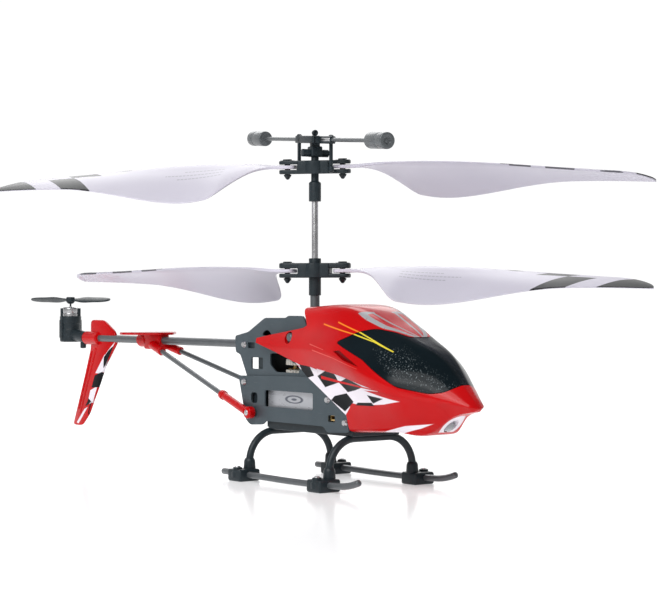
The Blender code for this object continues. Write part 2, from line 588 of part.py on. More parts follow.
def build_rotor_head(body):
    """Shaft head in the rotor's own frame; its cross pins lie square to the flybar."""
    local = -UPPER_BLADE_Z
    across_bar = turn_z(FLYBAR_AZIMUTH + 90.0 - ROTOR_AZIMUTH)
    pin = moved(rod((-4.2, 0.0, 93.4 + local), (4.2, 0.0, 93.4 + local), 1.1), across_bar)
    hinge_z = FLYBAR_Z + local
    hinge = moved(rod((-2.7, 0.0, hinge_z), (2.7, 0.0, hinge_z), 0.6, sides=16), across_bar)
    block = moved(box((-1.7, -1.7, 92.35 + local), (1.7, 1.7, 95.3 + local), 0.3), across_bar)
    neck = moved(box((-1.3, -0.85, 95.0 + local), (1.3, 0.85, 98.2 + local), 0.2), across_bar)
    bore = INNER_SHAFT_R + 0.12
    column = turned([(r, z + local) for r, z in (
        (0.0, 93.0), (1.1, 93.0), (1.1, 85.4), (COLLAR_R, 84.9), (COLLAR_R, 81.0), (2.2, 80.8), (2.2, 79.6),
        (bore, 79.6), (bore, 84.0), (0.0, 84.0))])
    loop = moved(rod((0.0, -0.8, 99.2 + local), (0.0, 0.8, 99.2 + local), 1.25, sides=16), across_bar)
    eye = moved(rod((0.0, -2.0, 99.2 + local), (0.0, 2.0, 99.2 + local), 0.45, sides=12), across_bar)
    part("rotor_head", column, body, add=[block, pin, neck, hinge, loop], cut=[eye])


def build_upper_grip(body):
    tilted = empty("upper_grip_axis", body, (0.0, 0.0, 0.0), turn_x(GRIP_TILT))
    base, add, cut = grip_shapes(-2.0, 1.85, 3.4, 1.75)
    swing = math.radians(FLYBAR_AZIMUTH - ROTOR_AZIMUTH)
    for sign in (-1.0, 1.0):
        x = sign * (LINK_ALONG * math.cos(swing) - LINK_ASIDE * math.sin(swing))
        y = sign * (LINK_ALONG * math.sin(swing) + LINK_ASIDE * math.cos(swing))
        tip = y - math.copysign(1.25, y)
        add.append(box((x - 0.9, min(0.0, tip), -1.9), (x + 0.9, max(0.0, tip), -0.8), 0.15))
    part("upper_blade_grip", base, tilted, add=add, cut=cut)
    build_blade_screws("upper", tilted, -2.0, 1.85)
    for name, turn, x in (("front", 0.0, BLADE_SCREW_X), ("rear", 180.0, -BLADE_SCREW_X)):
        pivot = empty(f"upper_{name}_fold", tilted, (x, 0.0, 0.0), turn_z(turn))
        build_blade(f"upper_blade_{name}", pivot, -1.0, UPPER_DROOP)


def build_flybar(body):
    local = FLYBAR_Z - UPPER_BLADE_Z
    level = empty("flybar_level", body, (0.0, 0.0, local), turn_z(FLYBAR_AZIMUTH - ROTOR_AZIMUTH))
    tilted = empty("flybar_axis", level, (0.0, 0.0, 0.0), turn_y(FLYBAR_TILT))
    beam_end = 12.1
    bore = 0.7 + GAP
    frame = box((-5.2, -3.0, -1.1), (5.2, 3.0, 1.0), 0.3)
    beams = [box((-beam_end, -0.78 - GAP, -1.1), (beam_end, 0.78 + GAP, 1.0), 0.2)]
    cut = [box((-3.9, -1.75, -3.0), (3.9, 1.75, 3.0))]
    cut.append(rod((0.0, -4.0, 0.0), (0.0, 4.0, 0.0), 0.6 + GAP, sides=16))
    cut += [rod((s * 6.5, 0.0, 0.0), (s * 20.0, 0.0, 0.0), 0.72, sides=16) for s in (-1, 1)]
    part("flybar_frame", frame, tilted, add=beams, cut=cut)
    for name, sign in (("front", 1.0), ("rear", -1.0)):
        bar = rod((sign * 6.7, 0.0, 0.0), (sign * (FLYBAR_HALF - 0.4), 0.0, 0.0), 0.6, sides=16)
        weight = turned(((1.0, 0.0), (2.05, 0.0), (2.25, -0.2), (2.25, -9.6), (2.05, -9.8), (0.0, -9.8),
                         (0.0, -0.5), (1.0, -0.5)))
        weight.transform(Matrix.Translation((sign * FLYBAR_HALF, 0.0, 0.0)) @ turn_y(sign * 90.0))
        part(f"flybar_rod_{name}", bar, tilted, add=[weight])
    for name, sign in (("front", 1.0), ("rear", -1.0)):
        drop = sign * LINK_ALONG * math.sin(math.radians(FLYBAR_TILT))
        x, y = sign * LINK_ALONG, sign * (LINK_ASIDE + 0.1)
        post = empty(f"flybar_link_{name}_axis", level, (x, y, 0.0))
        low, high = LINK_Z[0] - FLYBAR_Z - drop, LINK_Z[1] - FLYBAR_Z - drop
        part(f"flybar_link_{name}", box((-0.65, -0.6, low), (0.65, 0.6, high), 0.25), post)


def build_upper_rotor():
    body = empty("upper_rotor_axis", ROOT, (0.0, 0.0, UPPER_BLADE_Z), turn_z(ROTOR_AZIMUTH))
    low, high = (z - UPPER_BLADE_Z for z in INNER_SHAFT_Z)
    part("inner_shaft", rod((0.0, 0.0, low), (0.0, 0.0, high), INNER_SHAFT_R), body)
    build_rotor_head(body)
    build_upper_grip(body)
    build_flybar(body)
    return body


def build_bearings():
    """Flanged bushes that carry the outer shaft above and the inner shaft below."""
    for name, outline, bore in (("top", TOP_BEARING, OUTER_SHAFT_R + BEARING_PLAY),
                                ("bottom", BOTTOM_BEARING, INNER_SHAFT_R + BEARING_PLAY)):
        inner = [(bore, outline[-1][1]), (bore, outline[0][1])]
        part(f"mast_bearing_{name}", turned([*outline, *inner]))


def canopy_section(x, inset):
    """Half outline of the canopy at x, mirrored to a closed loop, shrunk inwards by inset."""
    value = {key: float(np.interp(x, *zip(*line))) for key, line in
             dict(top=TOP_LINE, low=BOTTOM_LINE, wide=WIDEST_HALF, wide_z=WIDEST_Z, roof=ROOF_HALF,
                  flank=FLANK, cowl=COWL_HALF, chin=CHIN_HALF).items()}
    top, low, wide, mid = value["top"], value["low"], value["wide"], value["wide_z"]
    roof, cowl, chin = value["roof"], value["cowl"], value["chin"]
    rise, fall = top - mid, mid - low
    half = [(0.0, top), (roof * 0.6, top), (roof, top - 0.04 * rise),
            (roof + value["flank"] * (wide - roof), mid + 0.52 * rise), (wide, mid + 0.10 * rise),
            (wide, mid - 0.12 * fall), (cowl, mid - 0.42 * fall), (chin, low + 0.10 * fall),
            (chin * 0.82, low), (0.0, low)]
    half = np.array(half)
    half[:, 0] = np.maximum(half[:, 0] - inset, 0.0)
    half[:, 1] = mid + (half[:, 1] - mid) * (1.0 - inset / np.where(half[:, 1] > mid, rise, fall))
    mirrored = half[-2:0:-1] * (-1.0, 1.0)
    loop = np.concatenate([half, mirrored])
    after = np.roll(loop, -1, axis=0)
    loop = np.stack([0.75 * loop + 0.25 * after, 0.25 * loop + 0.75 * after], axis=1).reshape(-1, 2)
    return np.column_stack([np.full(len(loop), x), loop])


def canopy_solid(inset, start, end):
    """Closed body through the canopy's sections from start to end."""
    stations = [start, *(x for x in CANOPY_STATIONS if start < x < end), end]
    return loft([canopy_section(x, inset) for x in stations])


def build_canopy():
    """Red shell, cut open behind and for the glazing, with the glazing and the lamp in the nose."""
    hollow, pane_hollow = (canopy_solid(SHELL, CANOPY_X[0] - 1.0, HOLLOW_NOSE_X) for _ in range(2))
    rear = [side_flat(OPEN_ABOVE_WING, 60.0, 0.0), side_flat(OPEN_BELOW_WING, 60.0, 0.0)]
    glass = side_flat(WINDSHIELD_SIDE, 60.0, 0.0)
    seam = moved(glass, Matrix.Translation((46.0, 0.0, 36.0)) @ Matrix.Diagonal((0.993, 1.0, 0.986, 1.0))
                 @ Matrix.Translation((-46.0, 0.0, -36.0)))
    lamp_seat = rod((50.0, 0.0, 19.2), (62.0, 0.0, 18.4), 1.75)
    shell = canopy_solid(0.0, *CANOPY_X)
    peg_hole = across(*PEG_HOLE, 1.3, 30.0, 16)
    part("canopy", shell, cut=[hollow, *rear, glass, lamp_seat, peg_hole])
    part("windshield", canopy_solid(0.0, *CANOPY_X), cut=[pane_hollow], keep=[seam])
    part("nose_lamp", rod(LAMP_TAIL, LAMP_TIP, 1.55, sides=16), add=[ball(LAMP_TIP, 1.5)])


def build_landing_gear():
    belly = box((-11.8, -CHASSIS_HALF, 14.4), (27.6, CHASSIS_HALF, 16.75), 0.2)
    part("belly_base", belly, cut=[across(x, BOW_TOP_Z, BOW_R + GAP, 20.0, 20) for x in BOW_X.values()])
    bend = BOW_LEG_Y - BOW_BEND
    arc = [(bend + BOW_BEND * math.sin(a), BOW_TOP_Z - BOW_BEND * (1.0 - math.cos(a)))
           for a in np.linspace(0.0, math.pi / 2.0, 8)]
    half = [*arc, (BOW_LEG_Y + 0.1, 2.2)]
    for name, x in BOW_X.items():
        path = [(x, -y, z) for y, z in reversed(half)] + [(x, y, z) for y, z in half]
        clamps, holes = [], []
        for sign in (-1.0, 1.0):
            low = (x - CLAMP[0] / 2.0, sign * (SKID_Y - 0.3) - CLAMP[1] / 2.0, 0.0)
            high = (x + CLAMP[0] / 2.0, sign * (SKID_Y - 0.3) + CLAMP[1] / 2.0, CLAMP[2] - 0.6)
            clamps.append(box(low, high, 0.35))
            boss_y, skid_y = sign * (SKID_Y + 1.9), sign * SKID_Y
            clamps.append(rod((x, boss_y, 0.5), (x, boss_y, CLAMP[2]), 1.3, sides=16))
            holes.append(rod((x - 6.0, skid_y, SKID_Z), (x + 6.0, skid_y, SKID_Z), SKID_R + GAP))
        part(f"{name}_skid_bow", tube(path, BOW_R), add=clamps, cut=holes)
    for side, sign in (("left", 1.0), ("right", -1.0)):
        y = sign * SKID_Y
        path = [(x, y, SKID_Z + rise) for x, rise in SKID_LINE]
        part(f"skid_tube_{side}", tube(path, SKID_R))


def build_tail():
    part("tail_boom", rod((BOOM_X[0], 0.0, BOOM_Z), (BOOM_X[1], 0.0, BOOM_Z), BOOM_R))
    bore = BOOM_R + GAP
    stabiliser = flat(STABILISER_TOP, 0.8)
    stabiliser.transform(Matrix.Translation((0.0, 0.0, 40.5)))
    head = Vector(STRUT_HEAD)
    foot = Vector(STRUT_FOOT)
    along = (foot - head).normalized()
    add = [box((-89.0, -2.0, 35.4), (-79.5, 2.0, 40.6), 0.4)]
    add.append(rod((-93.2, 0.0, BOOM_Z), (-88.3, 0.0, BOOM_Z), 2.3))
    cut = [rod((-99.0, 0.0, BOOM_Z), (-60.0, 0.0, BOOM_Z), bore)]
    for sign in (-1.0, 1.0):
        mirror = Vector((1.0, sign, 1.0))
        start, end = (head - along * 3.0) * mirror, (head + along * 5.0) * mirror
        add.append(rod(start, end, 1.35, sides=16))
        start, end = (head + along * 0.4) * mirror, (head + along * 9.0) * mirror
        cut.append(rod(start, end, STRUT_R + GAP, sides=16))
    part("tail_bracket", stabiliser, add=add, cut=cut)
    fin = side_flat(rounded(FIN_SIDE, 1.2), 1.2, 0.0)
    part("vertical_fin", fin, add=[rod((-128.7, 0.0, BOOM_Z), (-119.5, 0.0, BOOM_Z), 2.3)],
         cut=[rod((-150.0, 0.0, BOOM_Z), (-100.0, 0.0, BOOM_Z), bore)])
    build_tail_drive(bore)
    for side, sign in (("left", 1.0), ("right", -1.0)):
        build_strut(side, sign, head, foot, along)


def build_tail_drive(bore):
    holder = ring(3.7, TAIL_CAN_R + GAP, 36.7, 45.6, at=(TAIL_X, 0.0))
    arm = rod((TAIL_X + 3.2, 0.0, BOOM_Z + 1.0), (-129.0, 0.0, BOOM_Z), 2.0)
    lug = rod((-131.2, 0.0, 34.6), (-131.2, 0.0, 37.5), 1.0, sides=16)
    part("tail_motor_holder", holder, add=[arm, lug],
         cut=[rod((BOOM_X[0] - GAP, 0.0, BOOM_Z), (-120.0, 0.0, BOOM_Z), bore)])
    can = turned(((0.6, 49.0), (0.6, 48.7), (TAIL_CAN_R - 0.3, 48.7), (TAIL_CAN_R, 48.4), (TAIL_CAN_R, 37.6),
                  (2.4, 37.3), (0.0, 37.3), (0.0, 47.2), (0.42, 47.2), (0.42, 49.0)), at=(TAIL_X, 0.0, 0.0))
    part("tail_motor", can)
    spin = empty("tail_rotor_axis", ROOT, (TAIL_X, 0.0, TAIL_ROTOR_Z), turn_z(40.0))
    hub = turned(((0.0, 1.0), (1.3, 1.0), (1.5, 0.7), (1.5, -0.7), (0.9, -1.3), (0.3, -1.4), (0.3, -4.0),
                  (0.0, -4.0)), 20)
    blades = []
    for turn in (0.0, 180.0):
        rings = []
        for r, width, twist in TAIL_BLADE:
            angle = math.radians(twist)
            corners = ((width, 0.3), (-width, 0.3), (-width, -0.3), (width, -0.3))
            c, s = math.cos(angle), math.sin(angle)
            rings.append([(r, y * c - z * s, y * s + z * c) for y, z in corners])
        blades.append(moved(loft(rings), turn_z(turn)))
    part("tail_rotor", hub, spin, add=blades)


def build_strut(side, sign, head, foot, along):
    mirror = Vector((1.0, sign, 1.0))
    sleeve_start = foot - along * 17.5
    start, end = (head + along * 0.6) * mirror, (foot - along * 5.0) * mirror
    part(f"tail_strut_{side}", rod(start, end, STRUT_R, sides=16))
    eye_low, eye_high, socket_end = foot * mirror, foot * mirror, (foot - along * 4.8) * mirror
    eye_low.y = sign * 9.9
    eye_high.y = sign * 12.3
    sleeve = rod(sleeve_start * mirror, (foot - along * 1.0) * mirror, 1.15)
    pin_hole = rod((foot.x, sign * 5.0, foot.z), (foot.x, sign * 20.0, foot.z), 0.85, sides=16)
    part(f"tail_strut_end_{side}", rod(eye_low, eye_high, 1.75, sides=16), add=[sleeve],
         cut=[rod((sleeve_start - along) * mirror, socket_end, STRUT_R + GAP, sides=16), pin_hole])


def centre_model():
    """Shift the model so that the world origin is the bottom centre of its box."""
    bpy.context.view_layer.update()
    graph = bpy.context.evaluated_depsgraph_get()
    points = []
    for obj in PARTS.objects:
        if obj.type == "MESH":
            shape = obj.evaluated_get(graph)
            points += [shape.matrix_world @ v.co for v in shape.data.vertices]
    points = np.array(points)
    low, high = points.min(axis=0), points.max(axis=0)
    ROOT.location = (-(low[0] + high[0]) / 2.0, -(low[1] + high[1]) / 2.0, -low[2])
    bpy.context.view_layer.update()


FINISHES = {"chassis_frame": BLACK, "upper_side_plate_left": SLATE, "upper_side_plate_right": SLATE,
            "lower_side_plate_left": SLATE, "lower_side_plate_right": SLATE, "battery": SILVER,
            "circuit_board": GREEN, "charge_socket": BRASS, "power_switch": BLACK, "front_motor": STEEL,
            "rear_motor": STEEL, "frame_screw_rear_upper": STEEL, "frame_screw_rear_lower": STEEL,
            "frame_screw_front_upper": STEEL, "frame_screw_front_lower": STEEL, "lower_rotor_gear": CREAM,
            "upper_rotor_gear": CREAM, "front_pinion": BRASS, "rear_pinion": BRASS, "outer_shaft": BLACK,
            "lower_blade_grip": BLACK, "lower_blade_screw_front": BLACK, "lower_blade_screw_rear": BLACK,
            "lower_blade_front": PALE, "lower_blade_rear": PALE, "inner_shaft": STEEL, "rotor_head": BLACK,
            "upper_blade_grip": BLACK, "upper_blade_screw_front": BLACK, "upper_blade_screw_rear": BLACK,
            "upper_blade_front": PALE, "upper_blade_rear": PALE, "flybar_frame": BLACK,
            "flybar_rod_front": GREY_TUBE, "flybar_rod_rear": GREY_TUBE, "flybar_link_front": BLACK,
            "flybar_link_rear": BLACK, "mast_bearing_top": STEEL, "mast_bearing_bottom": STEEL,
            "canopy": RED,
            "windshield": SMOKE, "nose_lamp": LAMP, "belly_base": BLACK, "front_skid_bow": BLACK,
            "rear_skid_bow": BLACK, "skid_tube_left": GREY_TUBE, "skid_tube_right": GREY_TUBE,
            "tail_boom": GREY_TUBE, "tail_bracket": RED, "vertical_fin": RED, "tail_motor_holder": BLACK,
            "tail_motor": STEEL, "tail_rotor": BLACK, "tail_strut_left": GREY_TUBE,
            "tail_strut_right": GREY_TUBE, "tail_strut_end_left": RED, "tail_strut_end_right": RED}

clear_scene()
PARTS = new_collection(COLLECTION)
CUTTERS = new_collection("cutters")
ROOT = empty("helicopter")
build_chassis()
build_plates()
build_electrics()
build_frame_screws()
build_bearings()
LOWER_ROTOR = build_lower_rotor()
UPPER_ROTOR = build_upper_rotor()
build_gears(LOWER_ROTOR, UPPER_ROTOR)
build_canopy()
build_landing_gear()
build_tail()
centre_model()
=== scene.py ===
"""Looks of a palm-size coaxial toy helicopter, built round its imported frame.

Shapes are worked out in millimetres from the rotor mast's foot: x forward, y to port, z up.
"""
import json
import math

import bmesh
import bpy
import numpy as np
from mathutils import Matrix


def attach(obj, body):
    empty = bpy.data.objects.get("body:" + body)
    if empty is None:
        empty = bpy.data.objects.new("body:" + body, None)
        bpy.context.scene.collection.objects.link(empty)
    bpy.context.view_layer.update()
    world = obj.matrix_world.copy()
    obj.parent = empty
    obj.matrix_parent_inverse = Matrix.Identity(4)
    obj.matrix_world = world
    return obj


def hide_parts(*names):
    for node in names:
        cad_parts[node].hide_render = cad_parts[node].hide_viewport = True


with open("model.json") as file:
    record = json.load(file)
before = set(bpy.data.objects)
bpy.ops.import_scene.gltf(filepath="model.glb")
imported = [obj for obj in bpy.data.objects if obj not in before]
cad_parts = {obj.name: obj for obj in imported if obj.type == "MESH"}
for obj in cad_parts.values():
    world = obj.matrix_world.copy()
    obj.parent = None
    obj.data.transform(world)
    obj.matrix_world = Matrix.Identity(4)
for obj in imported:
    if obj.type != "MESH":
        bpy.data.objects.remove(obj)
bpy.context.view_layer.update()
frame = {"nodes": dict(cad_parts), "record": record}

MM = 0.001
JOINTS = {joint["name"]: joint for joint in frame["record"]["behaviour"]["joints"]}
MAST = np.array([JOINTS["lower_rotor_spin"]["pos_m"][0], JOINTS["lower_rotor_spin"]["pos_m"][1], 0.0])
LOWER_BLADE_Z = JOINTS["lower_rotor_spin"]["pos_m"][2] / MM
UPPER_BLADE_Z = JOINTS["upper_rotor_spin"]["pos_m"][2] / MM
FLYBAR_Z = JOINTS["flybar_tilt"]["pos_m"][2] / MM
TAIL_ROTOR = (np.array(JOINTS["tail_rotor_spin"]["pos_m"]) - MAST) / MM

AIRFRAME, LOWER_ROTOR, UPPER_ROTOR = "airframe", "lower_rotor", "upper_rotor"
ROTOR_AZIMUTH = 39.0
FOLDED_LAG = 23.7
GRIP_TILT = 4.3
FLYBAR_AZIMUTH = -13.0
FLYBAR_TILT = 5.0
BLADE_SCREW_X = 8.1
BLADE_R = 95.6


# ---- whole-array geometry --------------------------------------------------------------------------
def turn(axis, degrees):
    """Rotation matrix about a coordinate axis."""
    c, s = math.cos(math.radians(degrees)), math.sin(math.radians(degrees))
    i, j = {"x": (1, 2), "y": (2, 0), "z": (0, 1)}[axis]
    m = np.eye(3)
    m[i, i] = m[j, j] = c
    m[i, j], m[j, i] = -s, s
    return m


def placed(grid, matrix=None, at=(0.0, 0.0, 0.0)):
    """Every point turned by a matrix, then moved."""
    return (grid if matrix is None else grid @ matrix.T) + np.array(at)


def smooth_line(points, x):
    """Cubic Hermite curve through (x, value) points, with the mean slope of its neighbours at each."""
    px, py = np.array(points, dtype=float).T
    slope = np.gradient(py, px)
    i = np.clip(np.searchsorted(px, x) - 1, 0, len(px) - 2)
    h = px[i + 1] - px[i]
    t = np.clip((x - px[i]) / h, 0.0, 1.0)
    return ((2 * t ** 3 - 3 * t ** 2 + 1) * py[i] + (t ** 3 - 2 * t ** 2 + t) * h * slope[i]
            + (3 * t ** 2 - 2 * t ** 3) * py[i + 1] + (t ** 3 - t ** 2) * h * slope[i + 1])


def step(low, high, x):
    """0 below low, 1 above high, and a smooth cubic between."""
    t = np.clip((x - low) / (high - low), 0.0, 1.0)
    return t * t * (3.0 - 2.0 * t)


def bspline_loop(points, per_span):
    """Closed quadratic B-spline of control points (..., n, k): each span blends three neighbours."""
    t = np.linspace(0.0, 1.0, per_span, endpoint=False)[:, None]
    before, after = np.roll(points, 1, axis=-2), np.roll(points, -1, axis=-2)
    span = (0.5 * (1 - t) ** 2 * before[..., None, :] + (0.5 + t - t ** 2) * points[..., None, :]
            + 0.5 * t ** 2 * after[..., None, :])
    return span.reshape(*points.shape[:-2], -1, points.shape[-1])


def turned(profile, sides=48):
    """Surface of revolution about z: (radius, height) rows swept through a full circle."""
    profile = np.array(profile, dtype=float)
    a = np.linspace(0.0, 2.0 * np.pi, sides, endpoint=False)
    r, z = profile[:, :1], profile[:, 1:]
    return np.stack([r * np.cos(a), r * np.sin(a), z + 0.0 * a], axis=-1)


def softened(profile, radius, steps=3):
    """An open polyline with each inner corner replaced by a quadratic arc."""
    p = np.array(profile, dtype=float)
    a, b, c = p[:-2], p[1:-1], p[2:]
    la, lc = np.linalg.norm(a - b, axis=1, keepdims=True), np.linalg.norm(c - b, axis=1, keepdims=True)
    reach = np.minimum(radius, 0.45 * np.minimum(la, lc))
    start, end = b + (a - b) / la * reach, b + (c - b) / lc * reach
    t = np.linspace(0.0, 1.0, steps + 1)[None, :, None]
    arc = (1 - t) ** 2 * start[:, None] + 2 * t * (1 - t) * b[:, None] + t ** 2 * end[:, None]
    return np.concatenate([p[:1], arc.reshape(-1, p.shape[1]), p[-1:]])


def lathe(profile, radius, sides=48):
    """Surface turned about z from an (r, z) profile whose corners are rounded by the radius."""
    return turned(softened(profile, radius), sides)


def rounded_loop(points, radius, steps=4):
    """A closed polyline with every corner replaced by a quadratic arc."""
    p = np.array(points, dtype=float)
    closed = np.concatenate([p[-1:], p, p[:1]])
    return softened(closed, radius, steps)[1:-1]


def tube(path, radius, normal, sides=24, dome=0.6):
    """Round bar along a path in the plane of the normal; its ends are domed by shrinking rings."""
    path, normal = np.array(path, dtype=float), np.array(normal, dtype=float)
    tangent = np.gradient(path, axis=0)
    tangent /= np.linalg.norm(tangent, axis=1, keepdims=True)
    a = np.linspace(0.0, np.pi / 2.0, 5)
    depth, shrink = radius * dome * (1.0 - np.sin(a[::-1]))[:, None], np.cos(a[::-1])
    start, end = path[0] + tangent[0] * depth, path[-1] - tangent[-1] * depth
    keep = slice(1, -1)
    centre = np.concatenate([start, path[keep], end[::-1]])
    along = np.concatenate([np.repeat(tangent[:1], 5, 0), tangent[keep], np.repeat(tangent[-1:], 5, 0)])
    scale = radius * np.concatenate([shrink, np.ones(len(path) - 2), shrink[::-1]])[:, None, None]
    side = np.cross(along, normal)
    side /= np.linalg.norm(side, axis=1, keepdims=True)
    up = np.cross(side, along)
    angle = np.linspace(0.0, 2.0 * np.pi, sides, endpoint=False)[None, :, None]
    return centre[:, None] + scale * (np.cos(angle) * side[:, None] + np.sin(angle) * up[:, None])


def bar(start, end, radius, sides=24, dome=0.25, rings=6):
    """Straight round bar between two points."""
    start, end = np.array(start, dtype=float), np.array(end, dtype=float)
    t = np.linspace(0.0, 1.0, rings)[:, None]
    axis = end - start
    normal = np.cross(axis, (0.0, 0.0, 1.0))
    if np.linalg.norm(normal) < 1e-6:
        normal = np.array((0.0, 1.0, 0.0))
    return tube(start + axis * t, radius, normal / np.linalg.norm(normal), sides, dome)


def rounded_box(low, high, radius, steps=4):
    """Box with round edges: a sphere's eight octants pushed out to the corners of a smaller box."""
    low, high = np.array(low, dtype=float), np.array(high, dtype=float)
    radius = min(radius, 0.49 * float((high - low).min()))
    half, centre = (high - low) / 2.0 - radius, (high + low) / 2.0
    quarter = np.linspace(0.0, np.pi / 2.0, steps + 1)
    theta = np.concatenate([quarter + k * np.pi / 2.0 for k in range(4)])
    sx = np.repeat([1, -1, -1, 1], steps + 1)
    sy = np.repeat([1, 1, -1, -1], steps + 1)
    phi = np.concatenate([quarter - np.pi / 2.0, quarter])[:, None]
    sz = np.repeat([-1, 1], steps + 1)[:, None]
    ball = np.stack([np.cos(phi) * np.cos(theta), np.cos(phi) * np.sin(theta), np.sin(phi) + 0 * theta], -1)
    octant = np.stack([sx + 0 * phi, sy + 0 * phi, sz + 0 * theta], -1)
    return centre + octant * half + radius * ball


def slab(outline, thickness, edge, steps=3):
    """Flat plate in xy, centred on z = 0: outline rings shrink inwards round both edges."""
    p = np.array(outline, dtype=float)
    ahead = np.roll(p, -1, axis=0) - np.roll(p, 1, axis=0)
    x, y = p[:, 0], p[:, 1]
    area = np.sum(x * np.roll(y, -1) - np.roll(x, -1) * y)
    out = np.stack([ahead[:, 1], -ahead[:, 0]], -1) * np.sign(area)
    out /= np.linalg.norm(out, axis=1, keepdims=True)
    a = np.linspace(0.0, np.pi / 2.0, steps + 1)
    inset = edge * (1.0 - np.concatenate([np.sin(a), np.cos(a)]))
    z = np.concatenate([-thickness / 2 + edge * (1 - np.cos(a)), thickness / 2 - edge * (1 - np.sin(a))])
    rings = p[None] - out[None] * inset[:, None, None]
    return np.concatenate([rings, np.broadcast_to(z[:, None, None], (*rings.shape[:2], 1))], -1)


def upright(grid, y):
    """A slab in xy stood up into the xz plane at a given y."""
    return np.stack([grid[..., 0], y - grid[..., 2], grid[..., 1]], -1)


# ---- pieces ------------------------------------------------------------------------------------------
def grid_faces(rows, cols, start):
    """Quads of a grid whose columns close on themselves, as vertex numbers."""
    i, j = np.arange(rows - 1)[:, None], np.arange(cols)[None, :]
    k = (j + 1) % cols
    return (start + np.stack([i * cols + j, i * cols + k, (i + 1) * cols + k, (i + 1) * cols + j],
        -1)).reshape(-1, 4)


def skin_mesh(name, grids):
    """One mesh of several closed skins: each grid's columns wrap, and its end rings are capped."""
    points, faces, start = [], [], 0
    for grid in grids:
        rows, cols = grid.shape[:2]
        points.append(grid.reshape(-1, 3))
        faces += grid_faces(rows, cols, start).tolist()
        faces += [list(range(start, start + cols)),
                  list(range(start + (rows - 1) * cols, start + rows * cols))]
        start += rows * cols
    mesh = bpy.data.meshes.new(name)
    mesh.from_pydata((np.concatenate(points) * MM + MAST).tolist(), [], faces)
    bm = bmesh.new()
    bm.from_mesh(mesh)
    bmesh.ops.remove_doubles(bm, verts=bm.verts, dist=1e-7)
    bmesh.ops.dissolve_degenerate(bm, edges=bm.edges, dist=1e-8)
    bmesh.ops.recalc_face_normals(bm, faces=bm.faces)
    bm.to_mesh(mesh)
    bm.free()
    return mesh


def shade(mesh, angle=32.0):
    """Smooth shading, with edges over the angle kept sharp."""
    mesh.shade_smooth()
    mesh.set_sharp_from_angle(angle=math.radians(angle))


def piece(name, grids, body, slot, stands_for=(), material=None, angle=32.0):
    """A finished piece: its mesh, the body it rides on, its slot and the CAD nodes it stands for.

    Its material is the finish of the slot unless another is given.
    """
    mesh = skin_mesh(name, grids if isinstance(grids, list) else [grids])
    shade(mesh, angle)
    mesh.materials.append(material or FINISH[slot])
    obj = bpy.data.objects.new(name, mesh)
    bpy.context.scene.collection.objects.link(obj)
    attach(obj, body)
    if stands_for:
        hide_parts(*stands_for)
    return obj


# ---- materials ---------------------------------------------------------------------------------------
class Field:
    """A number that varies over a surface; arithmetic on it adds Math nodes."""

    def __init__(self, tree, socket):
        self.tree, self.socket = tree, socket

    def math(self, operation, *others):
        node = self.tree.nodes.new("ShaderNodeMath")
        node.operation = operation
        for slot_in, value in zip(node.inputs, (self, *others)):
            if isinstance(value, Field):
                self.tree.links.new(value.socket, slot_in)
            else:
                slot_in.default_value = value
        return Field(self.tree, node.outputs[0])

    def __add__(self, other):
        return self.math("ADD", other)

    def __mul__(self, other):
        return self.math("MULTIPLY", other)

    def __sub__(self, other):
        return self.math("SUBTRACT", other)

    def __rsub__(self, other):
        return self * -1.0 + other

    __radd__, __rmul__ = __add__, __mul__

    def clamp(self):
        return self.math("MAXIMUM", 0.0).math("MINIMUM", 1.0)

    def above(self, edge, soft=0.06):
        """1 where the field is over the edge, with a soft border."""
        return ((self - edge) * (1.0 / soft) + 0.5).clamp()

    def below(self, edge, soft=0.06):
        return 1.0 - self.above(edge, soft)

    def between(self, low, high, soft=0.06):
        return self.above(low, soft) * self.below(high, soft)


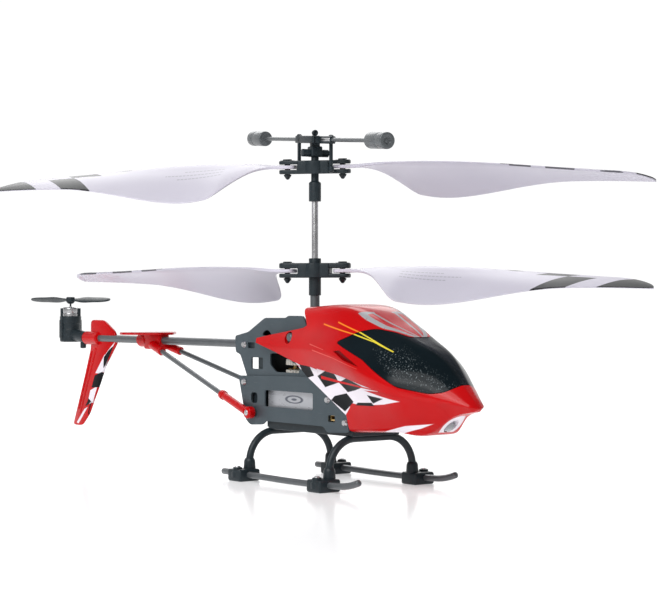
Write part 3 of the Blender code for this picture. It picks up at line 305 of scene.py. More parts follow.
class Paint:
    """One node material: coordinates in millimetres from the mast, and the Principled shader."""

    def __init__(self, name, metallic=0.0, coat=0.0, coat_roughness=0.06, specular=0.5, transmission=0.0):
        self.material = bpy.data.materials.new(name)
        self.material.use_nodes = True
        self.tree = self.material.node_tree
        self.shader = self.tree.nodes["Principled BSDF"]
        self.shader.inputs["Metallic"].default_value = metallic
        self.shader.inputs["Coat Weight"].default_value = coat
        self.shader.inputs["Coat Roughness"].default_value = coat_roughness
        self.shader.inputs["Specular IOR Level"].default_value = specular
        self.shader.inputs["Transmission Weight"].default_value = transmission
        coords = self.node("ShaderNodeTexCoord")
        moved = self.node("ShaderNodeVectorMath", {"operation": "SUBTRACT"},
            {0: coords.outputs["Object"], 1: MAST})
        scaled = self.node("ShaderNodeVectorMath", {"operation": "SCALE"},
            {0: moved.outputs[0], "Scale": 1.0 / MM})
        self.place = scaled.outputs[0]
        split = self.node("ShaderNodeSeparateXYZ", {}, {0: self.place})
        self.x, self.y, self.z = (Field(self.tree, out) for out in split.outputs)

    def node(self, kind, settings=None, sockets=None):
        """Any other node: its settings first, then values or links for its sockets."""
        node = self.tree.nodes.new(kind)
        for key, value in (settings or {}).items():
            setattr(node, key, value)
        for key, value in (sockets or {}).items():
            if isinstance(value, Field):
                value = value.socket
            if isinstance(value, bpy.types.NodeSocket):
                self.tree.links.new(value, node.inputs[key])
            else:
                node.inputs[key].default_value = value
        return node

    def noise(self, scale, detail=3.0, stretch=(1.0, 1.0, 1.0)):
        """Noise of about -0.5 to 0.5; scale is in features per millimetre, stretched along each axis."""
        where = self.node("ShaderNodeVectorMath", {"operation": "MULTIPLY"}, {0: self.place, 1: stretch})
        texture = self.node("ShaderNodeTexNoise", {}, {"Vector": where.outputs[0], "Scale": scale,
            "Detail": detail})
        return Field(self.tree, texture.outputs[0]) - 0.5

    def mix(self, factor, first, second):
        """A colour between two colours."""
        node = self.node("ShaderNodeMix", {"data_type": "RGBA"}, {0: factor, 6: first, 7: second})
        return node.outputs[2]

    def finish(self, colour, roughness, bump=None, height=0.02, coat=None):
        """Link what varies to the shader: colour, roughness and the bump's height in millimetres."""
        if isinstance(colour, tuple):
            self.shader.inputs["Base Color"].default_value = colour
        else:
            self.tree.links.new(colour, self.shader.inputs["Base Color"])
        self.tree.links.new(roughness.clamp().socket, self.shader.inputs["Roughness"])
        if coat is not None:
            self.tree.links.new(coat.clamp().socket, self.shader.inputs["Coat Weight"])
        if bump is not None:
            relief = self.node("ShaderNodeBump", {}, {"Height": bump, "Distance": height * MM,
                "Strength": 1.0})
            self.tree.links.new(relief.outputs[0], self.shader.inputs["Normal"])
        return self.material


def rgb(r, g, b):
    return (r, g, b, 1.0)


RED = rgb(0.560, 0.001, 0.003)
DEEP_RED = rgb(0.430, 0.001, 0.002)
INK = rgb(0.002, 0.003, 0.005)
WHITE = rgb(0.80, 0.76, 0.82)


def moulded_black():
    """Matt black moulding: a faint cloud of tone and a fine grain."""
    paint = Paint("moulded_black", specular=0.3)
    cloud, grain = paint.noise(0.6), paint.noise(9.0, 4.0)
    colour = paint.mix(cloud + 0.5, rgb(0.008, 0.014, 0.018), rgb(0.020, 0.030, 0.036))
    return paint.finish(colour, grain * 0.16 + cloud * 0.10 + 0.40, grain, 0.012)


def brushed_slate():
    """Anodised aluminium with fine lengthwise brushing and a few paler scratches."""
    paint = Paint("brushed_slate", metallic=0.55)
    brush = paint.noise(2.0, 4.0, (0.35, 1.0, 9.0))
    cloud = paint.noise(0.12)
    scratch = paint.noise(1.2, 1.0, (0.25, 1.0, 5.0)).above(0.24, 0.03)
    base = paint.mix(cloud * 1.2 + 0.5, rgb(0.060, 0.082, 0.096), rgb(0.088, 0.112, 0.128))
    colour = paint.mix(scratch * 0.12, base, rgb(0.30, 0.34, 0.36))
    return paint.finish(colour, brush * 0.20 + cloud * 0.10 + 0.44, brush, 0.004)


def metal(name, low, high, roughness, metallic=1.0):
    """Turned or drawn metal: faint smudges and a fine grain."""
    paint = Paint(name, metallic=metallic)
    smudge, fine = paint.noise(0.5), paint.noise(5.0, 4.0)
    colour = paint.mix(smudge + 0.5, low, high)
    return paint.finish(colour, fine * 0.06 + smudge * 0.14 + roughness, fine, 0.0008)


def silver_wrapping():
    """Shrink-wrap over the battery: faint creases and one generic oval mark on the flanks."""
    paint = Paint("silver_wrapping", metallic=0.5)
    cloud, crease_and_ridge_highlight = paint.noise(0.2, 3.0), paint.noise(0.9, 3.0, (0.4, 1.0, 2.2))
    across, up = (paint.x - 0.6) * (1.0 / 4.3), (paint.z - 23.3) * (1.0 / 1.15)
    radius = (across.math("POWER", 2.0) + up.math("POWER", 2.0)).math("SQRT")
    mark = radius.between(0.72, 1.0, 0.12).math("MAXIMUM", radius.below(0.3, 0.12))
    colour = paint.mix(cloud + 0.5, rgb(0.42, 0.43, 0.46), rgb(0.56, 0.57, 0.60))
    colour = paint.mix(mark * 0.85, colour, rgb(0.05, 0.06, 0.09))
    return paint.finish(colour, crease_and_ridge_highlight * 0.25 + cloud * 0.12 + 0.32, crease_and_ridge_highlight, 0.03)


def green_laminate():
    """Solder-masked board with copper tracks just showing."""
    paint = Paint("green_laminate", coat=0.4, coat_roughness=0.10)
    cloud, weave = paint.noise(0.3), paint.noise(3.0, 2.0)
    track = paint.noise(0.9, 1.0, (1.0, 0.3, 3.0)).between(-0.03, 0.05, 0.02)
    colour = paint.mix(cloud + 0.5, rgb(0.008, 0.075, 0.030), rgb(0.014, 0.11, 0.045))
    colour = paint.mix(track * 0.35, colour, rgb(0.05, 0.24, 0.10))
    return paint.finish(colour, weave * 0.14 + 0.40, track, 0.02)


def cream_moulding():
    """Undyed gear plastic: slightly uneven cream with a fine grain."""
    paint = Paint("natural_acetal")
    cloud, grain = paint.noise(0.4), paint.noise(7.0)
    colour = paint.mix(cloud + 0.5, rgb(0.66, 0.64, 0.58), rgb(0.80, 0.79, 0.74))
    return paint.finish(colour, grain * 0.12 + 0.42, grain, 0.008)


def glossy_red(name, printed=None):
    """Moulded red plastic under a clear gloss, with any printed colours, painted highlights and painted
    shade laid over it.
    """
    paint = Paint(name, coat=0.15, coat_roughness=0.05, specular=0.12)
    cloud, peel = paint.noise(0.07, 2.0), paint.noise(1.4, 2.0)
    colour = paint.mix(cloud * 1.4 + 0.5, DEEP_RED, RED)
    gloss = None
    # The layers hold printed colours, and on the wing also painted highlights and painted shade.
    for layer_colour, mask in (printed(paint) if printed else ()):
        colour = paint.mix(mask, colour, layer_colour)
        gloss = mask if gloss is None else gloss.math("MAXIMUM", mask)
    coat = None if gloss is None else (1.0 - gloss) * 0.16 + 0.02
    return paint.finish(colour, cloud * 0.08 + peel * 0.06 + 0.24, peel, 0.010, coat)


def plain_carry_over():
    """The finish for each material slot of the CAD nodes, by the slot's name."""
    finishes = {"black_plastic": moulded_black(), "slate_aluminium": brushed_slate(),
                "silver_wrap": silver_wrapping(), "green_board": green_laminate(),
                "grey_tube": metal("grey_tube", rgb(0.085, 0.095, 0.10), rgb(0.13, 0.14, 0.15), 0.34, 0.35),
                "steel": metal("bright_steel", rgb(0.50, 0.50, 0.51), rgb(0.62, 0.62, 0.63), 0.28),
                "brass": metal("machined_brass", rgb(0.62, 0.40, 0.14), rgb(0.78, 0.56, 0.24), 0.30),
                "cream_gear": cream_moulding(), "red_gloss_plastic": glossy_red("red_moulding")}
    return finishes


FINISH = plain_carry_over()
for entry in frame["record"]["subparts"]:
    if entry["material_slot"] in FINISH:
        node = frame["nodes"][entry["node"]]
        node.data.materials.clear()
        node.data.materials.append(FINISH[entry["material_slot"]])


# ---- canopy --------------------------------------------------------------------------------------------
CANOPY_X = (-12.4, 69.0)
WALL = 1.0
RECESS = 0.8
TOP_LINE = ((-12.4, 49.6), (7.0, 49.7), (26.0, 49.6), (37.5, 45.2), (46.0, 41.8), (57.3, 36.1),
            (63.8, 29.6),
            (69.0, 24.4))
BOTTOM_LINE = ((-12.4, 15.6), (28.0, 15.6), (45.0, 16.6), (55.7, 16.9), (61.0, 20.9), (69.0, 23.2))
WIDEST_HALF = ((-12.4, 11.7), (0.0, 12.2), (10.0, 13.0), (20.0, 14.2), (28.0, 15.0), (38.0, 15.3),
               (45.0, 14.7),
               (52.0, 12.4), (58.5, 8.4), (64.0, 4.9), (69.0, 1.9))
WIDEST_Z = ((-12.4, 39.2), (0.0, 39.0), (16.0, 38.5), (28.0, 37.0), (40.0, 32.5), (50.0, 29.0),
            (58.0, 26.6),
            (64.0, 25.2), (69.0, 23.9))
ROOF_HALF = ((-12.4, 8.6), (28.0, 8.8), (37.0, 7.0), (46.0, 5.2), (57.0, 3.0), (64.0, 1.6), (69.0, 0.7))
FLANK = ((-12.4, 0.30), (26.0, 0.36), (40.0, 0.62), (69.0, 0.70))
COWL_HALF = ((-12.4, 11.4), (28.0, 11.5), (40.0, 12.6), (50.0, 11.4), (58.0, 6.8), (64.0, 3.9), (69.0, 1.5))
CHIN_HALF = ((-12.4, 10.9), (28.0, 10.9), (40.0, 10.4), (50.0, 8.2), (57.0, 4.6), (64.0, 2.4), (69.0, 1.0))
WING_EDGE = ((-20.0, 40.7), (-12.0, 39.0), (-3.0, 36.8), (5.0, 34.6), (8.9, 33.6), (14.4, 33.1),
             (25.2, 31.6),
             (32.0, 30.4), (44.4, 27.9), (52.0, 26.3), (60.0, 25.0), (72.0, 23.6))
OPEN_ABOVE_WING = ((-20.0, 60.0), (7.0, 60.0), (7.2, 49.0), (10.4, 44.4), (8.9, 43.7), (-6.0, 41.6),
                   (-20.0, 39.4))
OPEN_BEHIND_COWL = ((-20.0, 44.0), (2.0, 36.8), (5.0, 34.6), (10.5, 30.2), (27.3, 20.3), (28.0, 15.9),
                    (28.0, 5.0),
                    (-20.0, 5.0))
WINDSHIELD_SIDE = ((26.8, 40.1), (32.9, 43.1), (37.1, 43.9), (42.4, 42.9), (46.9, 41.4), (48.0, 47.0),
                   (70.0, 36.0),
                   (63.4, 29.2), (61.8, 27.8), (58.6, 27.3), (50.9, 28.9), (38.7, 35.7))
VENT_SIDE = ((27.4, 37.7), (29.6, 38.0), (38.0, 34.0), (31.8, 35.5))


def canopy_loft(wall, start, end, tip=0.0, recess=0.0, stations=130, per_span=7):
    """Smooth body over the guide lines: a closed B-spline section at each x, drawn in by the wall.

    The sides alone are drawn in further by the recess, which fades out towards the nose.
    """
    x = start + (end - start) * (1.0 - (1.0 - np.linspace(0.0, 1.0, stations)) ** 1.15)
    top, low, wide, mid, roof, flank, cowl, chin = (smooth_line(line, x) for line in (
        TOP_LINE, BOTTOM_LINE, WIDEST_HALF, WIDEST_Z, ROOF_HALF, FLANK, COWL_HALF, CHIN_HALF))
    rise, fall, none = top - mid, mid - low, 0.0 * x
    half = np.stack([np.stack(pair, -1) for pair in (
        (none, top), (roof * 0.6, top), (roof, top - 0.04 * rise),
        (roof + flank * (wide - roof), mid + 0.52 * rise),
        (wide, mid + 0.10 * rise), (wide, mid - 0.12 * fall), (cowl, mid - 0.42 * fall),
        (chin, low + 0.07 * fall),
        (chin * 0.90, low), (none, low))], axis=1)
    drawn = wall + recess * (1.0 - step(36.0, 56.0, x))
    half[..., 0] = np.maximum(half[..., 0] - drawn[:, None], 0.0)
    reach = np.where(half[..., 1] > mid[:, None], rise[:, None], fall[:, None])
    half[..., 1] = mid[:, None] + (half[..., 1] - mid[:, None]) * (1.0 - wall / reach)
    t = np.clip((x - end + tip) / max(tip, 1e-6), 0.0, 1.0)
    share = np.sqrt(1.0 - 0.97 * t * t)[:, None]
    half = half * np.stack([share, share], -1) + np.stack([0.0 * share, mid[:, None] * (1.0 - share)], -1)
    loop = np.concatenate([half, half[:, -2:0:-1] * (-1.0, 1.0)], axis=1)
    section = bspline_loop(loop, per_span)
    return np.concatenate([np.broadcast_to(x[:, None, None], (*section.shape[:2], 1)), section], -1)


def prism(outline, low=-40.0, high=40.0):
    """Straight prism of a side outline (x, z) between two y planes."""
    p = np.array(outline, dtype=float)
    rows = [np.column_stack([p[:, 0], np.full(len(p), y), p[:, 1]]) for y in (low, high)]
    return np.stack(rows)


def solid(name, grids):
    """A loose object to cut with or to be cut."""
    obj = bpy.data.objects.new(name, skin_mesh(name, grids))
    bpy.context.scene.collection.objects.link(obj)
    return obj


def carved(name, grid, cuts=(), keeps=()):
    """The mesh left of a closed skin after some skins are taken out of it and it is kept inside others."""
    obj = solid(name, [grid])
    tools = [(solid(f"{name}_tool", [g]), op) for g, op in
             [*((g, "DIFFERENCE") for g in cuts), *((g, "INTERSECT") for g in keeps)]]
    for tool, operation in tools:
        modifier = obj.modifiers.new("cut", "BOOLEAN")
        modifier.operation, modifier.object, modifier.solver = operation, tool, "EXACT"
    graph = bpy.context.evaluated_depsgraph_get()
    mesh = bpy.data.meshes.new_from_object(obj.evaluated_get(graph))
    for loose in (obj, *(tool for tool, _ in tools)):
        bpy.data.objects.remove(loose)
    return mesh


def joined(name, meshes, materials, body, stands_for, angle=32.0):
    """A piece of several finished meshes, each with its own material."""
    bm = bmesh.new()
    for i, mesh in enumerate(meshes):
        before = len(bm.faces)
        bm.from_mesh(mesh)
        bm.faces.ensure_lookup_table()
        for face in bm.faces[before:]:
            face.material_index = i
    bmesh.ops.remove_doubles(bm, verts=bm.verts, dist=1e-8)
    mesh = bpy.data.meshes.new(name)
    bm.to_mesh(mesh)
    bm.free()
    shade(mesh, angle)
    for material in materials:
        mesh.materials.append(material)
    obj = bpy.data.objects.new(name, mesh)
    bpy.context.scene.collection.objects.link(obj)
    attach(obj, body)
    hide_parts(*stands_for)
    return obj


def inside(paint, corners, soft=0.12):
    """1 inside a convex outline in (x, z)."""
    p = np.array(corners, dtype=float)
    ahead = np.roll(p, -1, axis=0) - p
    area = np.sum(p[:, 0] * np.roll(p[:, 1], -1) - np.roll(p[:, 0], -1) * p[:, 1])
    normal = np.stack([-ahead[:, 1], ahead[:, 0]], -1) * np.sign(area)
    normal /= np.linalg.norm(normal, axis=1, keepdims=True) * soft
    least = None
    for (nx, nz), (x, z) in zip(normal.tolist(), p.tolist()):
        depth = paint.x.math("MULTIPLY_ADD", nx, paint.z.math("MULTIPLY_ADD", nz, -nx * x - nz * z))
        least = depth if least is None else least.math("MINIMUM", depth)
    return (least + 0.5).clamp()


def stripe(paint, points, width, end_width=None):
    """1 along a thin stripe through (x, z) points, tapering from width to end_width."""
    p = np.array(points, dtype=float)
    widths = np.linspace(width, width if end_width is None else end_width, len(p))
    total = None
    for a, b, wa, wb in zip(p[:-1], p[1:], widths[:-1], widths[1:]):
        side = np.array((-(b - a)[1], (b - a)[0])) / np.linalg.norm(b - a) / 2.0
        mask = inside(paint, (a + side * wa, b + side * wb, b - side * wb, a - side * wa), 0.10)
        total = mask if total is None else total.math("MAXIMUM", mask)
    return total


def any_of(masks):
    """The largest of several masks."""
    total = masks[0]
    for mask in masks[1:]:
        total = total.math("MAXIMUM", mask)
    return total


AMBER = rgb(0.80, 0.22, 0.02)
LEMON = rgb(0.75, 0.62, 0.05)
SILVER_INK = rgb(0.36, 0.36, 0.38)
PIN_UPPER = ((24.3, 45.5), (32.9, 42.95), (39.4, 40.45), (45.9, 37.9))
# Lines of the painted highlights where moulded ridges on the cheeks catch the light.
RIDGE_HIGHLIGHT_LINES = (((16.6, 37.8), (27.2, 35.9), (37.9, 33.3)), ((15.0, 39.4), (22.4, 38.0)))
PIN_LOWER = ((18.4, 44.9), (31.4, 42.4), (39.0, 40.4), (45.9, 37.9))


class Plan:
    """Stands in for a paint's (x, z) where an outline is drawn in plan."""

    def __init__(self, x, z):
        self.x, self.z = x, z


def wing_decals_and_painted_light(paint):
    """Printed stripes over the roof and the cheeks, above the wing's edge, with painted highlights along
    two cheek ridges and painted shade in the vents.
    """
    roof = Plan(paint.x, paint.y.math("ABSOLUTE"))
    outer = stripe(roof, ((30.4, 7.0), (32.6, 7.1), (38.6, 6.0), (44.2, 3.2), (47.0, 0.8)), 1.9, 0.9)
    inner = stripe(roof, ((30.4, 4.0), (37.4, 2.9), (41.3, 2.0), (46.5, 0.6)), 0.9, 0.5)
    root = inside(roof, ((29.4, 7.9), (31.4, 8.0), (31.2, 3.4), (30.2, 3.0)))
    arm = any_of([outer, inner, root]) * paint.z.above(41.0)
    pin = any_of([stripe(paint, line, 0.34, 0.2) for line in (PIN_UPPER, PIN_LOWER)])
    # Painted shade: near-black red over the vent recesses.
    painted_vent_shade = inside(paint, VENT_SIDE, 0.3)
    # Painted highlight: pale red lines along the cheek ridges.
    crease_and_ridge_highlight = any_of([stripe(paint, line, 0.30, 0.12) for line in RIDGE_HIGHLIGHT_LINES])
    return ((SILVER_INK, arm), (AMBER, pin), (rgb(0.10, 0.001, 0.002), painted_vent_shade * 0.85),
            (rgb(0.80, 0.14, 0.12), crease_and_ridge_highlight * 0.5))


CHECKS_WHITE = (((1.0, 35.6), (8.9, 33.9), (16.0, 33.0), (16.0, 29.9), (5.0, 34.0)),
                ((16.0, 33.0), (25.2, 31.9), (44.4, 28.1), (44.4, 27.6), (33.0, 27.6), (16.0, 29.9)),
                ((7.0, 33.0), (25.3, 29.6), (30.0, 26.8), (29.0, 22.6), (26.4, 19.8), (5.0, 31.0)),
                ((25.3, 29.8), (38.0, 27.6), (39.4, 24.3), (33.0, 23.6), (28.0, 24.0)),
                ((36.0, 27.9), (51.1, 25.2), (45.0, 24.2), (38.6, 23.7)))
CHECKS_BLACK = (((7.6, 33.6), (12.6, 33.2), (13.9, 30.6), (9.2, 29.6)),
                ((15.5, 30.6), (20.4, 32.3), (24.2, 31.6), (25.3, 29.2), (18.4, 27.6)),
                ((22.4, 25.4), (28.1, 26.4), (31.0, 24.2), (26.8, 21.4), (20.7, 24.2)),
                ((25.3, 29.2), (30.0, 30.6), (37.8, 28.5), (33.0, 27.4), (28.8, 26.7)),
                ((38.4, 26.4), (45.4, 25.7), (40.2, 24.2)),
                ((33.0, 24.1), (39.6, 24.4), (40.6, 23.5), (31.7, 23.3)))
RED_LINE = ((17.2, 30.3), (27.2, 29.2), (44.4, 27.8))


def cowl_print(paint):
    """Slanting checks behind the nose, a pale sweep along the chin and a pale ring round the lamp."""
    field = any_of([inside(paint, outline, 0.15) for outline in CHECKS_WHITE])
    black = any_of([inside(paint, outline, 0.15) for outline in CHECKS_BLACK])
    line = stripe(paint, RED_LINE, 0.9, 0.3)
    sweep = inside(paint, ((37.0, 16.6), (40.0, 17.6), (50.0, 18.7), (61.5, 21.4), (54.0, 18.2),
        (46.0, 16.0)))
    sweep = sweep * paint.x.above(38.5, 1.0)
    from_axis = ((paint.z - 18.7).math("POWER", 2.0) + paint.y.math("POWER", 2.0)).math("SQRT")
    ring = from_axis.below(3.0, 0.3) * paint.x.above(56.0, 0.5)
    return ((WHITE, field), (INK, black), (RED, line), (WHITE, sweep), (WHITE, ring))


def smoked_glass():
    """Near-black glazing printed with silver flakes and the ends of the pin stripes."""
    paint = Paint("smoked_window", coat=0.05, coat_roughness=0.04, specular=0.08)
    cloud, flake = paint.noise(0.09, 2.0), paint.noise(2.4, 4.0)
    trail = inside(paint, ((42.0, 38.0), (47.0, 38.5), (62.5, 29.4), (60.8, 27.4), (50.0, 31.8)), 3.0)
    speckle = flake.above(0.13, 0.10) * trail
    colour = paint.mix(cloud + 0.5, rgb(0.002, 0.005, 0.007), rgb(0.006, 0.012, 0.016))
    colour = paint.mix(speckle * 0.55, colour, rgb(0.34, 0.40, 0.42))
    for line in (PIN_UPPER, PIN_LOWER):
        colour = paint.mix(stripe(paint, line, 0.32, 0.2), colour, LEMON)
    return paint.finish(colour, speckle * 0.2 + cloud * 0.06 + 0.16, flake, 0.003)


def build_canopy():
    """The red shell in two printed halves, the upper one also painted with highlights and shade, and the
    glazing let into it.
    """
    whole = CANOPY_X[0] - 0.4, CANOPY_X[1]
    above = prism([*WING_EDGE, (72.0, 70.0), (-20.0, 70.0)])
    below = prism([*WING_EDGE, (72.0, 0.0), (-20.0, 0.0)])
    glass = prism(rounded_loop(WINDSHIELD_SIDE, 1.2))
    pane = prism(rounded_loop(np.array(WINDSHIELD_SIDE) * (0.990, 0.984) + (0.46, 0.60), 1.2))
    vents = [prism(VENT_SIDE, s * 14.4, s * 22.0) for s in (-1.0, 1.0)]
    pegs = bar((3.2, -30.0, 40.9), (3.2, 30.0, 40.9), 1.7)
    hollow = canopy_loft(WALL, whole[0] - 1.0, 60.5)
    inner = canopy_loft(WALL, whole[0] - 1.0, 57.0, recess=RECESS)
    shell = canopy_loft(0.0, *whole, tip=1.6)
    recessed = canopy_loft(0.0, *whole, tip=1.6, recess=RECESS)
    lamp_seat = bar((50.0, 0.0, 19.2), (64.0, 0.0, 18.4), 1.8)
    wing = carved("wing", shell, [hollow, glass, prism(OPEN_ABOVE_WING), pegs, *vents], [above])
    cowl = carved("cowl", recessed, [inner, prism(OPEN_BEHIND_COWL), lamp_seat], [below])
    joined("canopy_shell", [wing, cowl], [glossy_red("red_wing_decals_and_painted_light", wing_decals_and_painted_light),
        glossy_red("red_cowl_print", cowl_print)],
           AIRFRAME, ["canopy"])
    tinted = carved("pane", canopy_loft(0.10, *whole, tip=1.6), [hollow], [pane])
    joined("windshield_pane", [tinted], [smoked_glass()], AIRFRAME, ["windshield"])


# ---- main blades ---------------------------------------------------------------------------------------
def blade_rings(lead, droop):
    """Blade along x from its screw: bead at the leading edge, thin swept-back trailing edge, twisted."""
    r = np.concatenate([np.linspace(5.62, 12.0, 16), np.linspace(12.6, 30.0, 30),
        np.linspace(31.5, 88.0, 34),
                        88.0 + 7.6 * np.sin(np.linspace(0.05, 1.0, 16) * np.pi / 2.0)])
    front = smooth_line(((5.6, 1.2), (6.1, 2.0), (7.0, 2.45), (8.1, 2.6), (10.6, 2.6), (14.0, 2.9),
        (26.0, 3.1),
                         (80.0, 3.2), (88.0, 3.0), (91.0, 1.6), (93.6, -1.6), (95.2, -5.2), (95.6, -7.0)),
                         r)
    back = smooth_line(((5.6, 1.2), (6.1, 2.0), (7.0, 2.45), (8.1, 2.6), (10.6, 2.6), (12.0, 2.7),
        (14.0, 3.4),
                        (17.0, 6.2), (20.0, 11.0), (23.0, 16.6), (25.0, 19.9), (26.4, 21.0), (29.0, 20.7),
                        (88.0, 9.6), (95.6, 8.6)), r)
    pitch = np.radians(smooth_line(((5.6, 0.0), (10.6, 0.0), (14.0, 5.0), (20.0, 16.0), (26.0, 22.5),
        (73.0, 13.0),
                                    (95.6, 10.0)), r))
    thick = smooth_line(((5.6, 1.1), (10.6, 1.1), (20.0, 1.0), (95.6, 0.8)), r)
    theta = np.linspace(0.0, 2.0 * np.pi, 56, endpoint=False)
    chord = 0.5 - 0.5 * np.cos(theta)
    lips = np.sqrt(np.clip(1.0 - (np.maximum(chord - 0.985, 0.0) / 0.015) ** 2, 0.0, 1.0))
    depth = np.interp(chord, (0, .01, .04, .12, .22, .45, .75, 1),
                      (0, .26, .42, .50, .36, .30, .26, .22)) * lips
    root = np.interp(chord, (0, .01, .04, .18, .75, 1), (0, .3, .42, .5, .5, .4)) * lips
    side = np.sign(np.sin(theta) + 1e-12)
    spread = (front + back)[:, None]
    blend = np.clip((r - 10.6) / 8.0, 0.0, 1.0)[:, None]
    y = front[:, None] - chord * spread
    z = thick[:, None] * side * ((1.0 - blend) * root + blend * depth)
    z = z + 0.05 * spread * np.sin(np.pi * chord) * blend
    c, s = np.cos(pitch)[:, None], np.sin(pitch)[:, None]
    x = np.broadcast_to(r[:, None] - BLADE_SCREW_X, y.shape)
    sag = droop * np.clip((x - 6.0) / (BLADE_R - BLADE_SCREW_X - 6.0), 0.0, None) ** 1.6
    return np.stack([x, lead * (y * c - z * s), y * s + z * c - sag], -1)


def blade_finish(name, centre, azimuth, lead):
    """Milky plastic, printed on top near the tip: a dark end and slanting dark checks."""
    paint = Paint(name, specular=0.18)
    c, s = math.cos(math.radians(azimuth)), math.sin(math.radians(azimuth))
    cx, cy = centre
    span = paint.x * c + paint.y * s - (cx * c + cy * s) + BLADE_SCREW_X
    chord = (paint.y * c - paint.x * s - (cy * c - cx * s)) * -lead
    normal = paint.node("ShaderNodeSeparateXYZ", {},
        {0: paint.node("ShaderNodeTexCoord").outputs["Normal"]})
    top = Field(paint.tree, normal.outputs[2]).above(0.05, 0.1)
    slant = span + chord * 0.85
    tip = slant.above(89.5, 0.2)
    check = slant.between(74.5, 82.5, 0.2) * chord.above(2.6, 0.3)
    upper = slant.between(65.5, 74.5, 0.2) * chord.below(2.6, 0.3) * chord.above(-1.2, 0.3)
    fleck = (span - chord * 1.5).between(58.0, 61.5, 0.2) * chord.below(-1.0, 0.3)
    print_mask = any_of([tip, check, upper, fleck]) * top
    dash = (span.between(56.0, 62.0, 0.2).math("MAXIMUM", span.between(66.0, 74.0, 0.2))).math(
        "MAXIMUM", span.between(81.0, 89.0, 0.2)) * chord.below(-2.85, 0.1)
    rules = any_of([chord.between(at, at + 0.5, 0.1) * span.between(25.5, end, 0.2)
                    for at, end in ((3.0, 38.0), (5.2, 43.0), (7.2, 39.0))])
    breaks = (span * 0.9).math("FRACT").above(0.25, 0.1)
    cloud, grain = paint.noise(0.05, 2.0), paint.noise(1.6, 3.0)
    colour = paint.mix(cloud + 0.5, rgb(0.52, 0.50, 0.58), rgb(0.60, 0.58, 0.66))
    colour = paint.mix(rules * breaks * top * 0.45, colour, rgb(0.16, 0.17, 0.19))
    colour = paint.mix(print_mask.math("MAXIMUM", dash * 0.8), colour, rgb(0.002, 0.004, 0.006))
    return paint.finish(colour, cloud * 0.08 + grain * 0.06 + 0.34, grain, 0.006)


def build_blades():
    """The four blades, each turned to its own azimuth about its screw."""
    lower = upper = ROTOR_AZIMUTH
    lean = turn("z", upper) @ turn("x", GRIP_TILT)
    for end, sign, azimuth, droop in (("front", 1.0, lower, 3.7),
        ("rear", -1.0, lower + 180.0 - FOLDED_LAG, 1.0)):
        screw = placed(np.array((sign * BLADE_SCREW_X, 0.0, 0.0)), turn("z", lower))
        skin = placed(blade_rings(1.0, droop), turn("z", azimuth), screw + (0.0, 0.0, LOWER_BLADE_Z))
        name = f"lower_blade_{end}"
        piece(f"{name}_skin", skin, name, "pale_blade", [name],
              blade_finish(f"{name}_print", screw[:2], azimuth, 1.0), 50.0)
    for end, sign, azimuth in (("front", 1.0, 0.0), ("rear", -1.0, 180.0)):
        local = placed(blade_rings(-1.0, 4.2), turn("z", azimuth), (sign * BLADE_SCREW_X, 0.0, 0.0))
        screw = placed(np.array((sign * BLADE_SCREW_X, 0.0, 0.0)), turn("z", upper))
        skin = placed(local, lean, (0.0, 0.0, UPPER_BLADE_Z))
        name = f"upper_blade_{end}"
        piece(f"{name}_skin", skin, name, "pale_blade", [name],
              blade_finish(f"{name}_print", screw[:2], upper + azimuth, -1.0), 50.0)


# ---- landing gear --------------------------------------------------------------------------------------
BOW_X = {"front": 25.5, "rear": -11.5}
BOW_R, BOW_TOP_Z, BOW_LEG_Y, BOW_BEND = 1.05, 13.8, 14.7, 8.6
SKID_Y, SKID_R, SKID_Z = 17.0, 0.9, 2.0
CLAMP = (6.2, 7.2, 3.4)


def screw_top(at, radius, rise):
    """Domed screw head on a flat seat, axis z."""
    dome = lathe(((0.0, rise), (radius * 0.7, rise), (radius, rise * 0.45), (radius, -0.3), (0.0, -0.3)),
                 0.3, 32)
    return placed(dome, None, at)


